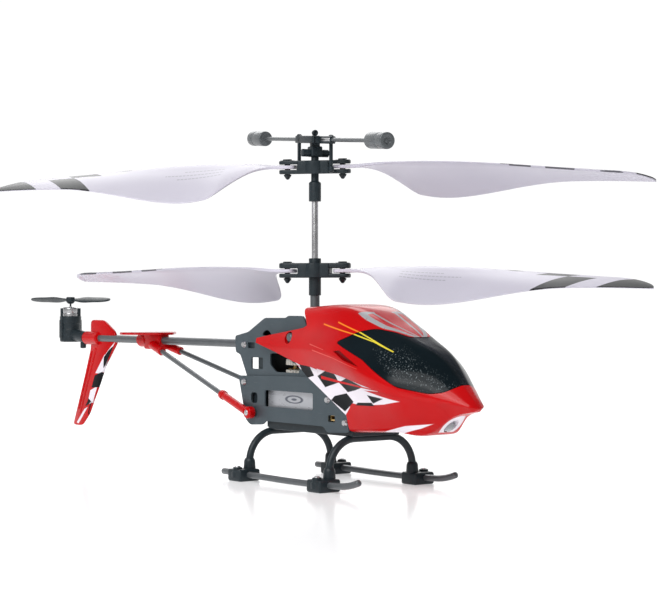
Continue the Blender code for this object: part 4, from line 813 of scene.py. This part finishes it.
def build_landing_gear():
    """Two bent bows with their clamps, two runners with upturned ends, and the clamp screws."""
    a = np.linspace(0.0, np.pi / 2.0, 22)
    bend = BOW_LEG_Y - BOW_BEND
    half = np.column_stack([bend + BOW_BEND * np.sin(a), BOW_TOP_Z - BOW_BEND * (1.0 - np.cos(a))])
    half = np.concatenate([half, ((BOW_LEG_Y + 0.05, 4.0), (BOW_LEG_Y + 0.1, 2.2))])
    outline = np.concatenate([half[::-1] * (-1.0, 1.0), half])
    for end, x in BOW_X.items():
        path = np.column_stack([np.full(len(outline), x), outline])
        grids = [tube(path, BOW_R, (1.0, 0.0, 0.0))]
        for s in (-1.0, 1.0):
            mid = s * (SKID_Y - 0.3)
            grids.append(rounded_box((x - CLAMP[0] / 2, mid - CLAMP[1] / 2, 0.0),
                (x + CLAMP[0] / 2, mid + CLAMP[1] / 2, CLAMP[2]), 0.6))
            boss = softened(((0.0, 4.0), (1.3, 4.0), (1.35, 3.0), (1.7, 2.6), (1.7, 1.0), (0.0, 1.0)), 0.25)
            grids.append(placed(turned(boss, 28), None, (x, s * (SKID_Y + 1.9), 0.0)))
            leg = softened(((0.0, 6.4), (1.2, 6.4), (1.6, 5.6), (1.75, 3.0), (0.0, 3.0)), 0.3)
            grids.append(placed(turned(leg, 28), None, (x, s * BOW_LEG_Y, 0.0)))
        piece(f"{end}_skid_bow_moulding", grids, AIRFRAME, "black_plastic", [f"{end}_skid_bow"])
    for side, s in (("left", 1.0), ("right", -1.0)):
        x = np.concatenate([np.linspace(-21.5, 30.0, 12), np.linspace(31.0, 41.4, 14)])
        z = smooth_line(((-21.5, SKID_Z), (30.0, SKID_Z), (35.0, SKID_Z + 0.25), (38.5, SKID_Z + 0.9),
            (41.4, SKID_Z + 1.8)), x)
        path = np.column_stack([x, np.full(len(x), s * SKID_Y), z])
        piece(f"skid_tube_{side}_bar", tube(path, SKID_R, (0.0, 1.0, 0.0)), AIRFRAME, "grey_tube",
              [f"skid_tube_{side}"])
    heads = [screw_top((x, s * (SKID_Y + 1.9), 4.0), 0.85, 0.35) for x in BOW_X.values() for s in (-1.0,
        1.0)]
    piece("skid_clamp_screws", heads, AIRFRAME, "steel")


# ---- tail ----------------------------------------------------------------------------------------------
BOOM_Z = 38.3
BOOM_R = 1.25
TAIL_X = TAIL_ROTOR[0]
FIN_SIDE = ((-125.3, 44.5), (-117.0, 44.5), (-109.8, 40.7), (-108.4, 37.2), (-116.4, 28.8), (-119.8, 23.1),
            (-127.2, 12.0), (-131.9, 8.0), (-137.4, 8.0), (-130.0, 24.0), (-125.3, 34.6))
STABILISER_TOP = ((-87.3, 0.0), (-92.0, 9.4), (-88.2, 10.3), (-78.3, 2.8), (-78.3, -2.8), (-88.2, -10.3),
                  (-92.0, -9.4))
STRUT_FOOT = np.array((-16.7, 11.6, 18.9))
STRUT_HEAD = np.array((-80.0, 2.9, 36.2))


def fin_print(paint):
    """Checks down the fin's leading edge, under the boom."""
    black = any_of([inside(paint, cell) for cell in (
        ((-110.0, 36.0), (-112.0, 33.6), (-116.8, 28.3), (-116.4, 32.0), (-113.2, 34.4)),
        ((-117.6, 27.0), (-122.4, 25.6), (-124.6, 21.4), (-120.6, 21.6), (-118.0, 24.4)),
        ((-126.6, 17.6), (-129.6, 13.6), (-126.4, 15.6), (-124.2, 16.4)),
        ((-125.8, 15.6), (-124.4, 16.6), (-127.6, 11.4)))])
    white = any_of([inside(paint, cell) for cell in (
        ((-109.0, 37.4), (-113.2, 34.6), (-116.6, 32.0), (-116.6, 28.4)),
        ((-115.8, 33.0), (-116.2, 28.2), (-118.0, 26.4), (-122.0, 26.4)),
        ((-120.8, 22.0), (-125.4, 20.4), (-127.4, 15.4), (-124.4, 16.2)),
        ((-129.4, 13.8), (-127.2, 14.6), (-133.4, 8.6), (-134.6, 9.0)))])
    return ((WHITE, white), (INK, black))


def rib(start, end, radius):
    """A half-buried round stiffening rib."""
    return bar(start, end, radius, 16, 0.8)


def build_tail():
    """Boom, fin, bracket, struts, the motor in its cup and the tail rotor.

    A tail blade is an ellipse at each radius: width by angle across, a thin rise, turned by the twist.
    """
    piece("tail_boom_tube", bar((-134.5, 0, BOOM_Z), (-23.6, 0, BOOM_Z), BOOM_R, 32, 0.1), AIRFRAME,
          "grey_tube", ["tail_boom"])
    fin = upright(slab(rounded_loop(FIN_SIDE, 1.6), 1.2, 0.45), 0.0)
    housing = [bar((-128.7, 0, BOOM_Z), (-119.5, 0, BOOM_Z), 2.3, 32, 0.2)]
    ribs = [rib((-124.6, s * 0.5, 34.0), (-133.4, s * 0.5, 13.6), 0.45) for s in (-1.0, 1.0)]
    ribs += [rib((-121.6, s * 0.5, 35.0), (-132.2, s * 0.5, 12.4), 0.40) for s in (-1.0, 1.0)]
    piece("vertical_fin_moulding", [fin, *housing, *ribs], AIRFRAME, "red_gloss_plastic",
          ["vertical_fin"], glossy_red("red_fin_print", fin_print))
    along = (STRUT_FOOT - STRUT_HEAD) / np.linalg.norm(STRUT_FOOT - STRUT_HEAD)
    stabiliser = placed(slab(rounded_loop(STABILISER_TOP[1:], 1.2), 0.8, 0.3), None, (0.0, 0.0, 40.5))
    body = [stabiliser, rounded_box((-89.0, -2.0, 35.4), (-79.5, 2.0, 40.6), 0.7),
            bar((-93.2, 0, BOOM_Z), (-88.3, 0, BOOM_Z), 2.3, 32, 0.15)]
    for side, s in (("left", 1.0), ("right", -1.0)):
        mirror = np.array((1.0, s, 1.0))
        body.append(bar((STRUT_HEAD - along * 3.0) * mirror, (STRUT_HEAD + along * 5.0) * mirror, 1.35, 28,
            0.15))
        foot = STRUT_FOOT * mirror
        start, end = (STRUT_HEAD + along * 0.6) * mirror, (STRUT_FOOT - along * 5.0) * mirror
        piece(f"tail_strut_{side}_rod", bar(start, end, 0.75, 24, 0.1), AIRFRAME, "grey_tube",
              [f"tail_strut_{side}"])
        eye = lathe(((0.0, 1.2), (1.0, 1.2), (1.75, 1.0), (1.75, -1.0), (1.0, -1.2), (0.0, -1.2)), 0.3, 36)
        eye = placed(eye, turn("x", 90.0), (foot[0], s * 11.1, foot[2]))
        sleeve = bar(foot - along * 17.5 * mirror, foot - along * 1.0 * mirror, 1.15, 28, 0.15)
        collar = bar(foot - along * 17.4 * mirror, foot - along * 15.6 * mirror, 1.4, 28, 0.2)
        piece(f"tail_strut_end_{side}_socket", [sleeve, collar, eye], AIRFRAME, "red_gloss_plastic",
              [f"tail_strut_end_{side}"])
        pin = placed(screw_top((0, 0, 0), 0.85, 0.3), turn("x", 90.0 if s < 0 else -90.0),
                     (foot[0], s * 12.25, foot[2]))
        piece(f"strut_pin_{side}", pin, AIRFRAME, "steel")
    piece("tail_bracket_moulding", body, AIRFRAME, "red_gloss_plastic", ["tail_bracket"])
    cup = placed(lathe(((0, 36.7), (3.4, 36.7), (3.7, 37.2), (3.7, 41.0), (3.5, 41.2), (3.5, 43.0),
        (3.7, 43.2), (3.7, 45.6),
                                  (2.9, 45.6), (2.9, 44.6), (0, 44.6)), 0.15, 56), None, (TAIL_X, 0, 0))
    arm = bar((TAIL_X + 3.2, 0, BOOM_Z + 1.0), (-129.0, 0, BOOM_Z), 2.0, 32, 0.15)
    lug = bar((-131.2, 0, 34.6), (-131.2, 0, 37.5), 1.0, 24, 0.3)
    clip = [rounded_box((TAIL_X - 1.0, -4.0, 38.0), (TAIL_X + 1.0, -3.2, 44.4), 0.3),
            rounded_box((TAIL_X - 1.0, 3.2, 38.0), (TAIL_X + 1.0, 4.0, 44.4), 0.3)]
    for sx, sy in ((1.75, 2.2), (-1.75, -2.2)):
        clip.append(rounded_box((TAIL_X + sx - 0.6, sy - 0.6, 44.8), (TAIL_X + sx + 0.6, sy + 0.6, 48.4),
            0.25))
    piece("tail_motor_cup", [cup, arm, lug, *clip], AIRFRAME, "black_plastic", ["tail_motor_holder"])
    can = softened(((0, 49.0), (0.6, 49.0), (0.6, 48.7), (2.4, 48.7), (2.7, 48.4), (2.7, 46.9), (2.6, 46.8),
                    (2.6, 46.6), (2.7, 46.5),
                    (2.7, 44.0), (0, 44.0)), 0.12)
    piece("tail_motor_can", placed(turned(can, 48), None, (TAIL_X, 0, 0)), AIRFRAME, "steel",
          ["tail_motor"])
    r = np.linspace(0.6, 14.35, 26)
    width = smooth_line(((0.6, 0.9), (2.2, 1.5), (4.0, 2.1), (9.0, 2.2), (12.5, 2.0), (13.8, 1.5),
        (14.4, 0.7)), r)[:, None]
    twist = np.radians(smooth_line(((0.6, 12), (2.2, 18), (4, 23), (9, 22), (12.5, 20), (14.4, 18)), r))[:,
        None]
    t = np.linspace(0, 2 * np.pi, 28, endpoint=False)[None]
    y, z = width * np.cos(t), 0.3 * np.sin(t) + 0.10 * (1 - np.cos(t) ** 2)
    blade = np.stack([np.broadcast_to(r[:, None], y.shape), y * np.cos(twist) - z * np.sin(twist),
                      y * np.sin(twist) + z * np.cos(twist)], -1)
    hub = lathe(((0, 1.0), (1.3, 1.0), (1.5, 0.7), (1.5, -0.7), (0.9, -1.3), (0.3, -1.4), (0.3, -2.3),
                 (0, -2.3)), 0.15, 36)
    blades = [placed(blade, turn("z", 40.0 + k), (TAIL_X, 0, TAIL_ROTOR[2])) for k in (0.0, 180.0)]
    piece("tail_rotor_moulding", [placed(hub, None, (TAIL_X, 0, TAIL_ROTOR[2])), *blades], "tail_rotor",
          "black_plastic",
          ["tail_rotor"])


# ---- rotor heads -----------------------------------------------------------------------------------------
def grip_grids(low, high, hub_r):
    """Forked grip along x: upper and lower arms over a block and a round hub, with a raised ring round each
    blade pin.
    """
    arm = rounded_loop(((-10.4, -2.3), (10.4, -2.3), (10.4, 2.3), (-10.4, 2.3)), 2.0)
    grids = [placed(slab(arm, high - 0.75, 0.35), None, (0, 0, (high + 0.75) / 2)),
             placed(slab(arm, -0.75 - low, 0.35), None, (0, 0, (low - 0.75) / 2)),
             rounded_box((-4.6, -2.6, low), (4.6, 2.6, high), 0.35),
             lathe(((0, high), (hub_r, high), (hub_r, low), (0, low)), 0.3, 48)]
    for s in (-1.0, 1.0):
        ring = softened(((0, high + 0.1), (2.1, high + 0.1), (2.1, high - 0.4), (0, high - 0.4)), 0.15)
        grids.append(placed(turned(ring, 36), None, (s * BLADE_SCREW_X, 0, 0)))
    return grids


def screw_grids(x, low, high):
    """Blade pin: flat recessed head over the fork and a pointed nut under it."""
    head = softened(((0, high + 0.25), (0.45, high + 0.25), (0.7, high + 0.45), (1.15, high + 0.45),
                     (1.3, high + 0.3),
                     (1.3, high + 0.05), (0, high + 0.05)), 0.08)
    nut = softened(((0, low - 0.12), (1.1, low - 0.12), (1.1, low - 0.45), (0.4, low - 1.5),
                    (0, low - 1.6)), 0.2)
    shank = ((0, high + 0.3), (0.8, high + 0.3), (0.8, low - 0.3), (0, low - 0.3))
    return [placed(turned(p, 32), None, (x, 0, 0)) for p in (head, nut, shank)]


def moved_all(grids, matrix, at):
    """Every grid turned by the matrix and moved to a place."""
    return [placed(g, matrix, at) for g in grids]


def build_rotor_heads():
    """Both blade grips with their pins, the two shafts, and the head that carries the flybar."""
    spin = turn("z", ROTOR_AZIMUTH)
    lean = spin @ turn("x", GRIP_TILT)
    foot, head = (0.0, 0.0, LOWER_BLADE_Z), (0.0, 0.0, UPPER_BLADE_Z)
    collar = lathe(((0, 3.6), (1.75, 3.6), (1.75, -7.0), (0, -7.0)), 0.15, 40)
    piece("lower_grip_moulding", moved_all([*grip_grids(-1.95, 2.25, 3.3), collar], spin, foot),
          LOWER_ROTOR, "black_plastic",
          ["lower_blade_grip"])
    piece("outer_shaft_tube", placed(lathe(((0, 63.2), (1.35, 63.2), (1.35, 32.6), (0, 32.6)), 0.1, 36)),
          LOWER_ROTOR,
          "grey_tube", ["outer_shaft"])
    piece("inner_shaft_rod", placed(lathe(((0, 83.8), (0.95, 83.8), (0.95, 27.4), (0, 27.4)), 0.1, 36)),
          UPPER_ROTOR, "steel", ["inner_shaft"])
    for end, s in (("front", 1.0), ("rear", -1.0)):
        piece(f"lower_pin_{end}", moved_all(screw_grids(s * BLADE_SCREW_X, -1.95, 2.25), spin, foot),
              LOWER_ROTOR, "black_plastic",
              [f"lower_blade_screw_{end}"])
        piece(f"upper_pin_{end}", moved_all(screw_grids(s * BLADE_SCREW_X, -2.0, 1.85), lean, head),
              "upper_grip", "black_plastic",
              [f"upper_blade_screw_{end}"])
    swing = math.radians(FLYBAR_AZIMUTH - ROTOR_AZIMUTH)
    ears = []
    for s in (-1.0, 1.0):
        x = s * (7.2 * math.cos(swing) - 1.6 * math.sin(swing))
        y = s * (7.2 * math.sin(swing) + 1.6 * math.cos(swing))
        tip = y - math.copysign(1.25, y)
        ears.append(rounded_box((x - 0.9, min(0.0, tip), -1.9), (x + 0.9, max(0.0, tip), -0.8), 0.3))
    piece("upper_grip_moulding", moved_all([*grip_grids(-2.0, 1.85, 3.4), *ears], lean, head), "upper_grip",
          "black_plastic",
          ["upper_blade_grip"])
    square = turn("z", FLYBAR_AZIMUTH + 90.0)
    column = lathe(((0, 94.0), (1.1, 94.0), (1.1, 85.4), (1.75, 84.9), (1.75, 79.6), (0, 79.6)), 0.15, 40)
    cross = [bar((-4.2, 0, 93.4), (4.2, 0, 93.4), 1.1, 28, 0.2),
             bar((-2.7, 0, FLYBAR_Z), (2.7, 0, FLYBAR_Z), 0.6, 20, 0.2),
             rounded_box((-1.7, -1.7, 92.35), (1.7, 1.7, 95.3), 0.4),
             rounded_box((-1.3, -0.85, 95.0), (1.3, 0.85, 98.4), 0.3)]
    eye = placed(lathe(((0, 0.25), (0.3, 0.25), (0.5, 0.6), (0.7, 0.6), (0.85, 0.4), (0.85, -0.4),
        (0.7, -0.6),
                                  (0.5, -0.6), (0.3, -0.25), (0, -0.25)), 0.08, 36), turn("x", 90.0),
                                  (0, 0, 99.2))
    piece("rotor_head_moulding", [column, *moved_all([*cross, eye], square, (0, 0, 0))], UPPER_ROTOR,
          "black_plastic", ["rotor_head"])


def build_flybar():
    """The flybar's frame, its two weighted rods, the steel sleeve and the two links."""
    level = turn("z", FLYBAR_AZIMUTH)
    tilted, at = level @ turn("y", FLYBAR_TILT), (0.0, 0.0, FLYBAR_Z)
    frame_grids = [rounded_box((-5.2, s * 2.4 - 0.6, -1.1), (5.2, s * 2.4 + 0.6, 1.0), 0.3) for s in (-1.0,
        1.0)]
    for s in (-1.0, 1.0):
        ends = sorted((s * 3.9, s * 5.2)), sorted((s * 5.0, s * 12.1))
        frame_grids.append(rounded_box((ends[0][0], -3.0, -1.1), (ends[0][1], 3.0, 1.0), 0.3))
        frame_grids.append(rounded_box((ends[1][0], -0.93, -1.1), (ends[1][1], 0.93, 1.0), 0.3))
    piece("flybar_frame_moulding", moved_all(frame_grids, tilted, at), "flybar", "black_plastic",
          ["flybar_frame"])
    weight = lathe(((0, -0.5), (1.0, -0.5), (1.0, 0.0), (2.05, 0.0), (2.25, -0.2), (2.25, -3.2),
                    (2.1, -3.35), (2.1, -3.6),
                              (2.25, -3.75), (2.25, -9.6), (2.05, -9.8), (0, -9.8)), 0.12, 48)
    for end, s in (("front", 1.0), ("rear", -1.0)):
        rod = bar((s * 6.7, 0, 0), (s * 45.6, 0, 0), 0.6, 20, 0.1)
        weighted = placed(weight, turn("y", s * 90.0), (s * 46.0, 0, 0))
        if end == "front":
            rod_sleeve = bar((5.6, 0, 0), (12.0, 0, 0), 1.05, 24, 0.2)
            piece("flybar_sleeve", placed(rod_sleeve, tilted, at), "flybar", "steel")
        piece(f"flybar_rod_{end}_weighted", moved_all([rod, weighted], tilted, at), "flybar", "grey_tube",
              [f"flybar_rod_{end}"])
        drop = s * 7.2 * math.sin(math.radians(FLYBAR_TILT))
        low, high = 88.0 - FLYBAR_Z - drop, 98.8 - FLYBAR_Z - drop
        post = rounded_box((-0.5, -0.45, low + 1.0), (0.5, 0.45, high - 1.0), 0.25)
        knuckle = placed(lathe(((0, 0.6), (0.9, 0.6), (1.05, 0.3), (1.05, -0.3), (0.9, -0.6), (0, -0.6)),
            0.15, 28), turn("x", 90.0))
        grids = [post, placed(knuckle, None, (0, 0, low + 1.05)),
                 placed(knuckle, None, (0, 0, high - 1.05))]
        local = [placed(g, None, (s * 7.2, s * 1.7, 0)) for g in grids]
        piece(f"flybar_link_{end}_rod", moved_all(local, level, at), f"flybar_link_{end}", "black_plastic",
              [f"flybar_link_{end}"])


def build_lamp_and_pegs():
    """The clear nose lamp and the pegs that hold the canopy."""
    paint = Paint("clear_lamp", transmission=0.6)
    cloud = paint.noise(1.0)
    clear = paint.finish(rgb(0.85, 0.88, 0.92), cloud * 0.04 + 0.07)
    lamp = placed(lathe(((0, 3.9), (0.9, 3.7), (1.5, 2.7), (1.55, 0.0), (0, 0.0)), 0.5, 32),
                  turn("y", 94.0), (54.6, 0, 18.93))
    piece("nose_lamp_lens", lamp, AIRFRAME, "clear_lamp", ["nose_lamp"], clear)
    pegs = [placed(lathe(((0, 0), (1.25, 0), (1.25, 2.2), (0.9, 2.5), (0, 2.5)), 0.2, 32),
                   turn("x", -s * 90.0), (3.2, s * 9.3, 40.9))
            for s in (-1.0, 1.0)]
    piece("canopy_pegs", pegs, AIRFRAME, "grey_tube")


build_canopy()
build_blades()
build_landing_gear()
build_tail()
build_rotor_heads()
build_flybar()
build_lamp_and_pegs()


# ---- stage, light and camera ---------------------------------------------------------------------------
CAMERA_AZIMUTH = 52.0
AHEAD = (-math.sin(math.radians(CAMERA_AZIMUTH)), math.cos(math.radians(CAMERA_AZIMUTH)), 0.0)


def build_stage():
    """A pale floor, and a world that is bright behind the object and dim in front of it."""
    mesh = bpy.data.meshes.new("floor")
    side = 1.6
    mesh.from_pydata([(-side, -side, 0), (side, -side, 0), (side, side, 0), (-side, side, 0)], [],
                     [(0, 1, 2, 3)])
    floor = bpy.data.objects.new("floor", mesh)
    bpy.context.scene.collection.objects.link(floor)
    paint = Paint("pale_floor")
    cloud = paint.noise(0.01)
    paint.shader.inputs["Emission Color"].default_value = rgb(1.0, 1.0, 1.0)
    paint.shader.inputs["Emission Strength"].default_value = 0.34
    mesh.materials.append(paint.finish(rgb(0.90, 0.90, 0.91), cloud * 0.03 + 0.16))
    world = bpy.data.worlds.new("studio")
    bpy.context.scene.world = world
    world.use_nodes = True
    tree = world.node_tree
    sky = tree.nodes["Background"]
    way = tree.nodes.new("ShaderNodeTexCoord")
    dot = tree.nodes.new("ShaderNodeVectorMath")
    dot.operation = "DOT_PRODUCT"
    dot.inputs[1].default_value = AHEAD
    ramp = tree.nodes.new("ShaderNodeMapRange")
    ramp.interpolation_type = "SMOOTHSTEP"
    for key, value in (("From Min", 0.1), ("From Max", 0.8), ("To Min", 0.26), ("To Max", 1.04)):
        ramp.inputs[key].default_value = value
    tree.links.new(way.outputs["Generated"], dot.inputs[0])
    tree.links.new(dot.outputs["Value"], ramp.inputs["Value"])
    tree.links.new(ramp.outputs[0], sky.inputs["Strength"])
    sky.inputs["Color"].default_value = (1.0, 1.0, 1.0, 1.0)


def softbox(name, at, aim, size, power):
    """A square area light at a place, in metres from the mast, pointing at an aim."""
    lamp = bpy.data.lights.new(name, "AREA")
    lamp.shape = "RECTANGLE"
    lamp.size, lamp.size_y = size
    lamp.energy = power
    obj = bpy.data.objects.new(name, lamp)
    bpy.context.scene.collection.objects.link(obj)
    at, aim = np.array(at) + MAST, np.array(aim) + MAST
    back = (at - aim) / np.linalg.norm(at - aim)
    right = np.cross((0.0, 0.0, 1.0), back)
    right /= np.linalg.norm(right)
    up = np.cross(back, right)
    matrix = np.eye(4)
    matrix[:3, 0], matrix[:3, 1], matrix[:3, 2], matrix[:3, 3] = right, up, back, at
    obj.matrix_world = matrix.T.tolist()


CAMERA_DISTANCE = 0.500
CAMERA_HEIGHT = 0.0523
CAMERA_ASIDE = 0.0043
FOCAL = 95.45


def build_camera():
    """Level camera ahead and to starboard of the nose, its axis just to the right of the mast."""
    a = math.radians(CAMERA_AZIMUTH)
    back = np.array((math.sin(a), -math.cos(a), 0.0))
    right = np.array((math.cos(a), math.sin(a), 0.0))
    lens = bpy.data.cameras.new("camera")
    lens.lens = FOCAL
    lens.sensor_width = 36.0
    lens.clip_start = 0.01
    obj = bpy.data.objects.new("camera", lens)
    bpy.context.scene.collection.objects.link(obj)
    matrix = np.eye(4)
    matrix[:3, 0], matrix[:3, 1], matrix[:3, 2] = right, (0.0, 0.0, 1.0), back
    matrix[:3, 3] = MAST + back * CAMERA_DISTANCE + right * CAMERA_ASIDE + np.array((0.0, 0.0,
        CAMERA_HEIGHT))
    obj.matrix_world = matrix.T.tolist()
    bpy.context.scene.camera = obj


build_stage()
softbox("key", (0.25, -0.55, 0.65), (0.0, 0.0, 0.04), (0.6, 0.4), 3.6)
softbox("fill", (0.30, -0.95, 0.60), (0.0, 0.0, 0.05), (0.8, 0.5), 5.0)
softbox("rim", (-0.55, 0.35, 0.55), (0.0, 0.0, 0.05), (0.5, 0.5), 1.6)
build_camera()
bpy.context.scene.view_settings.view_transform = "Standard"
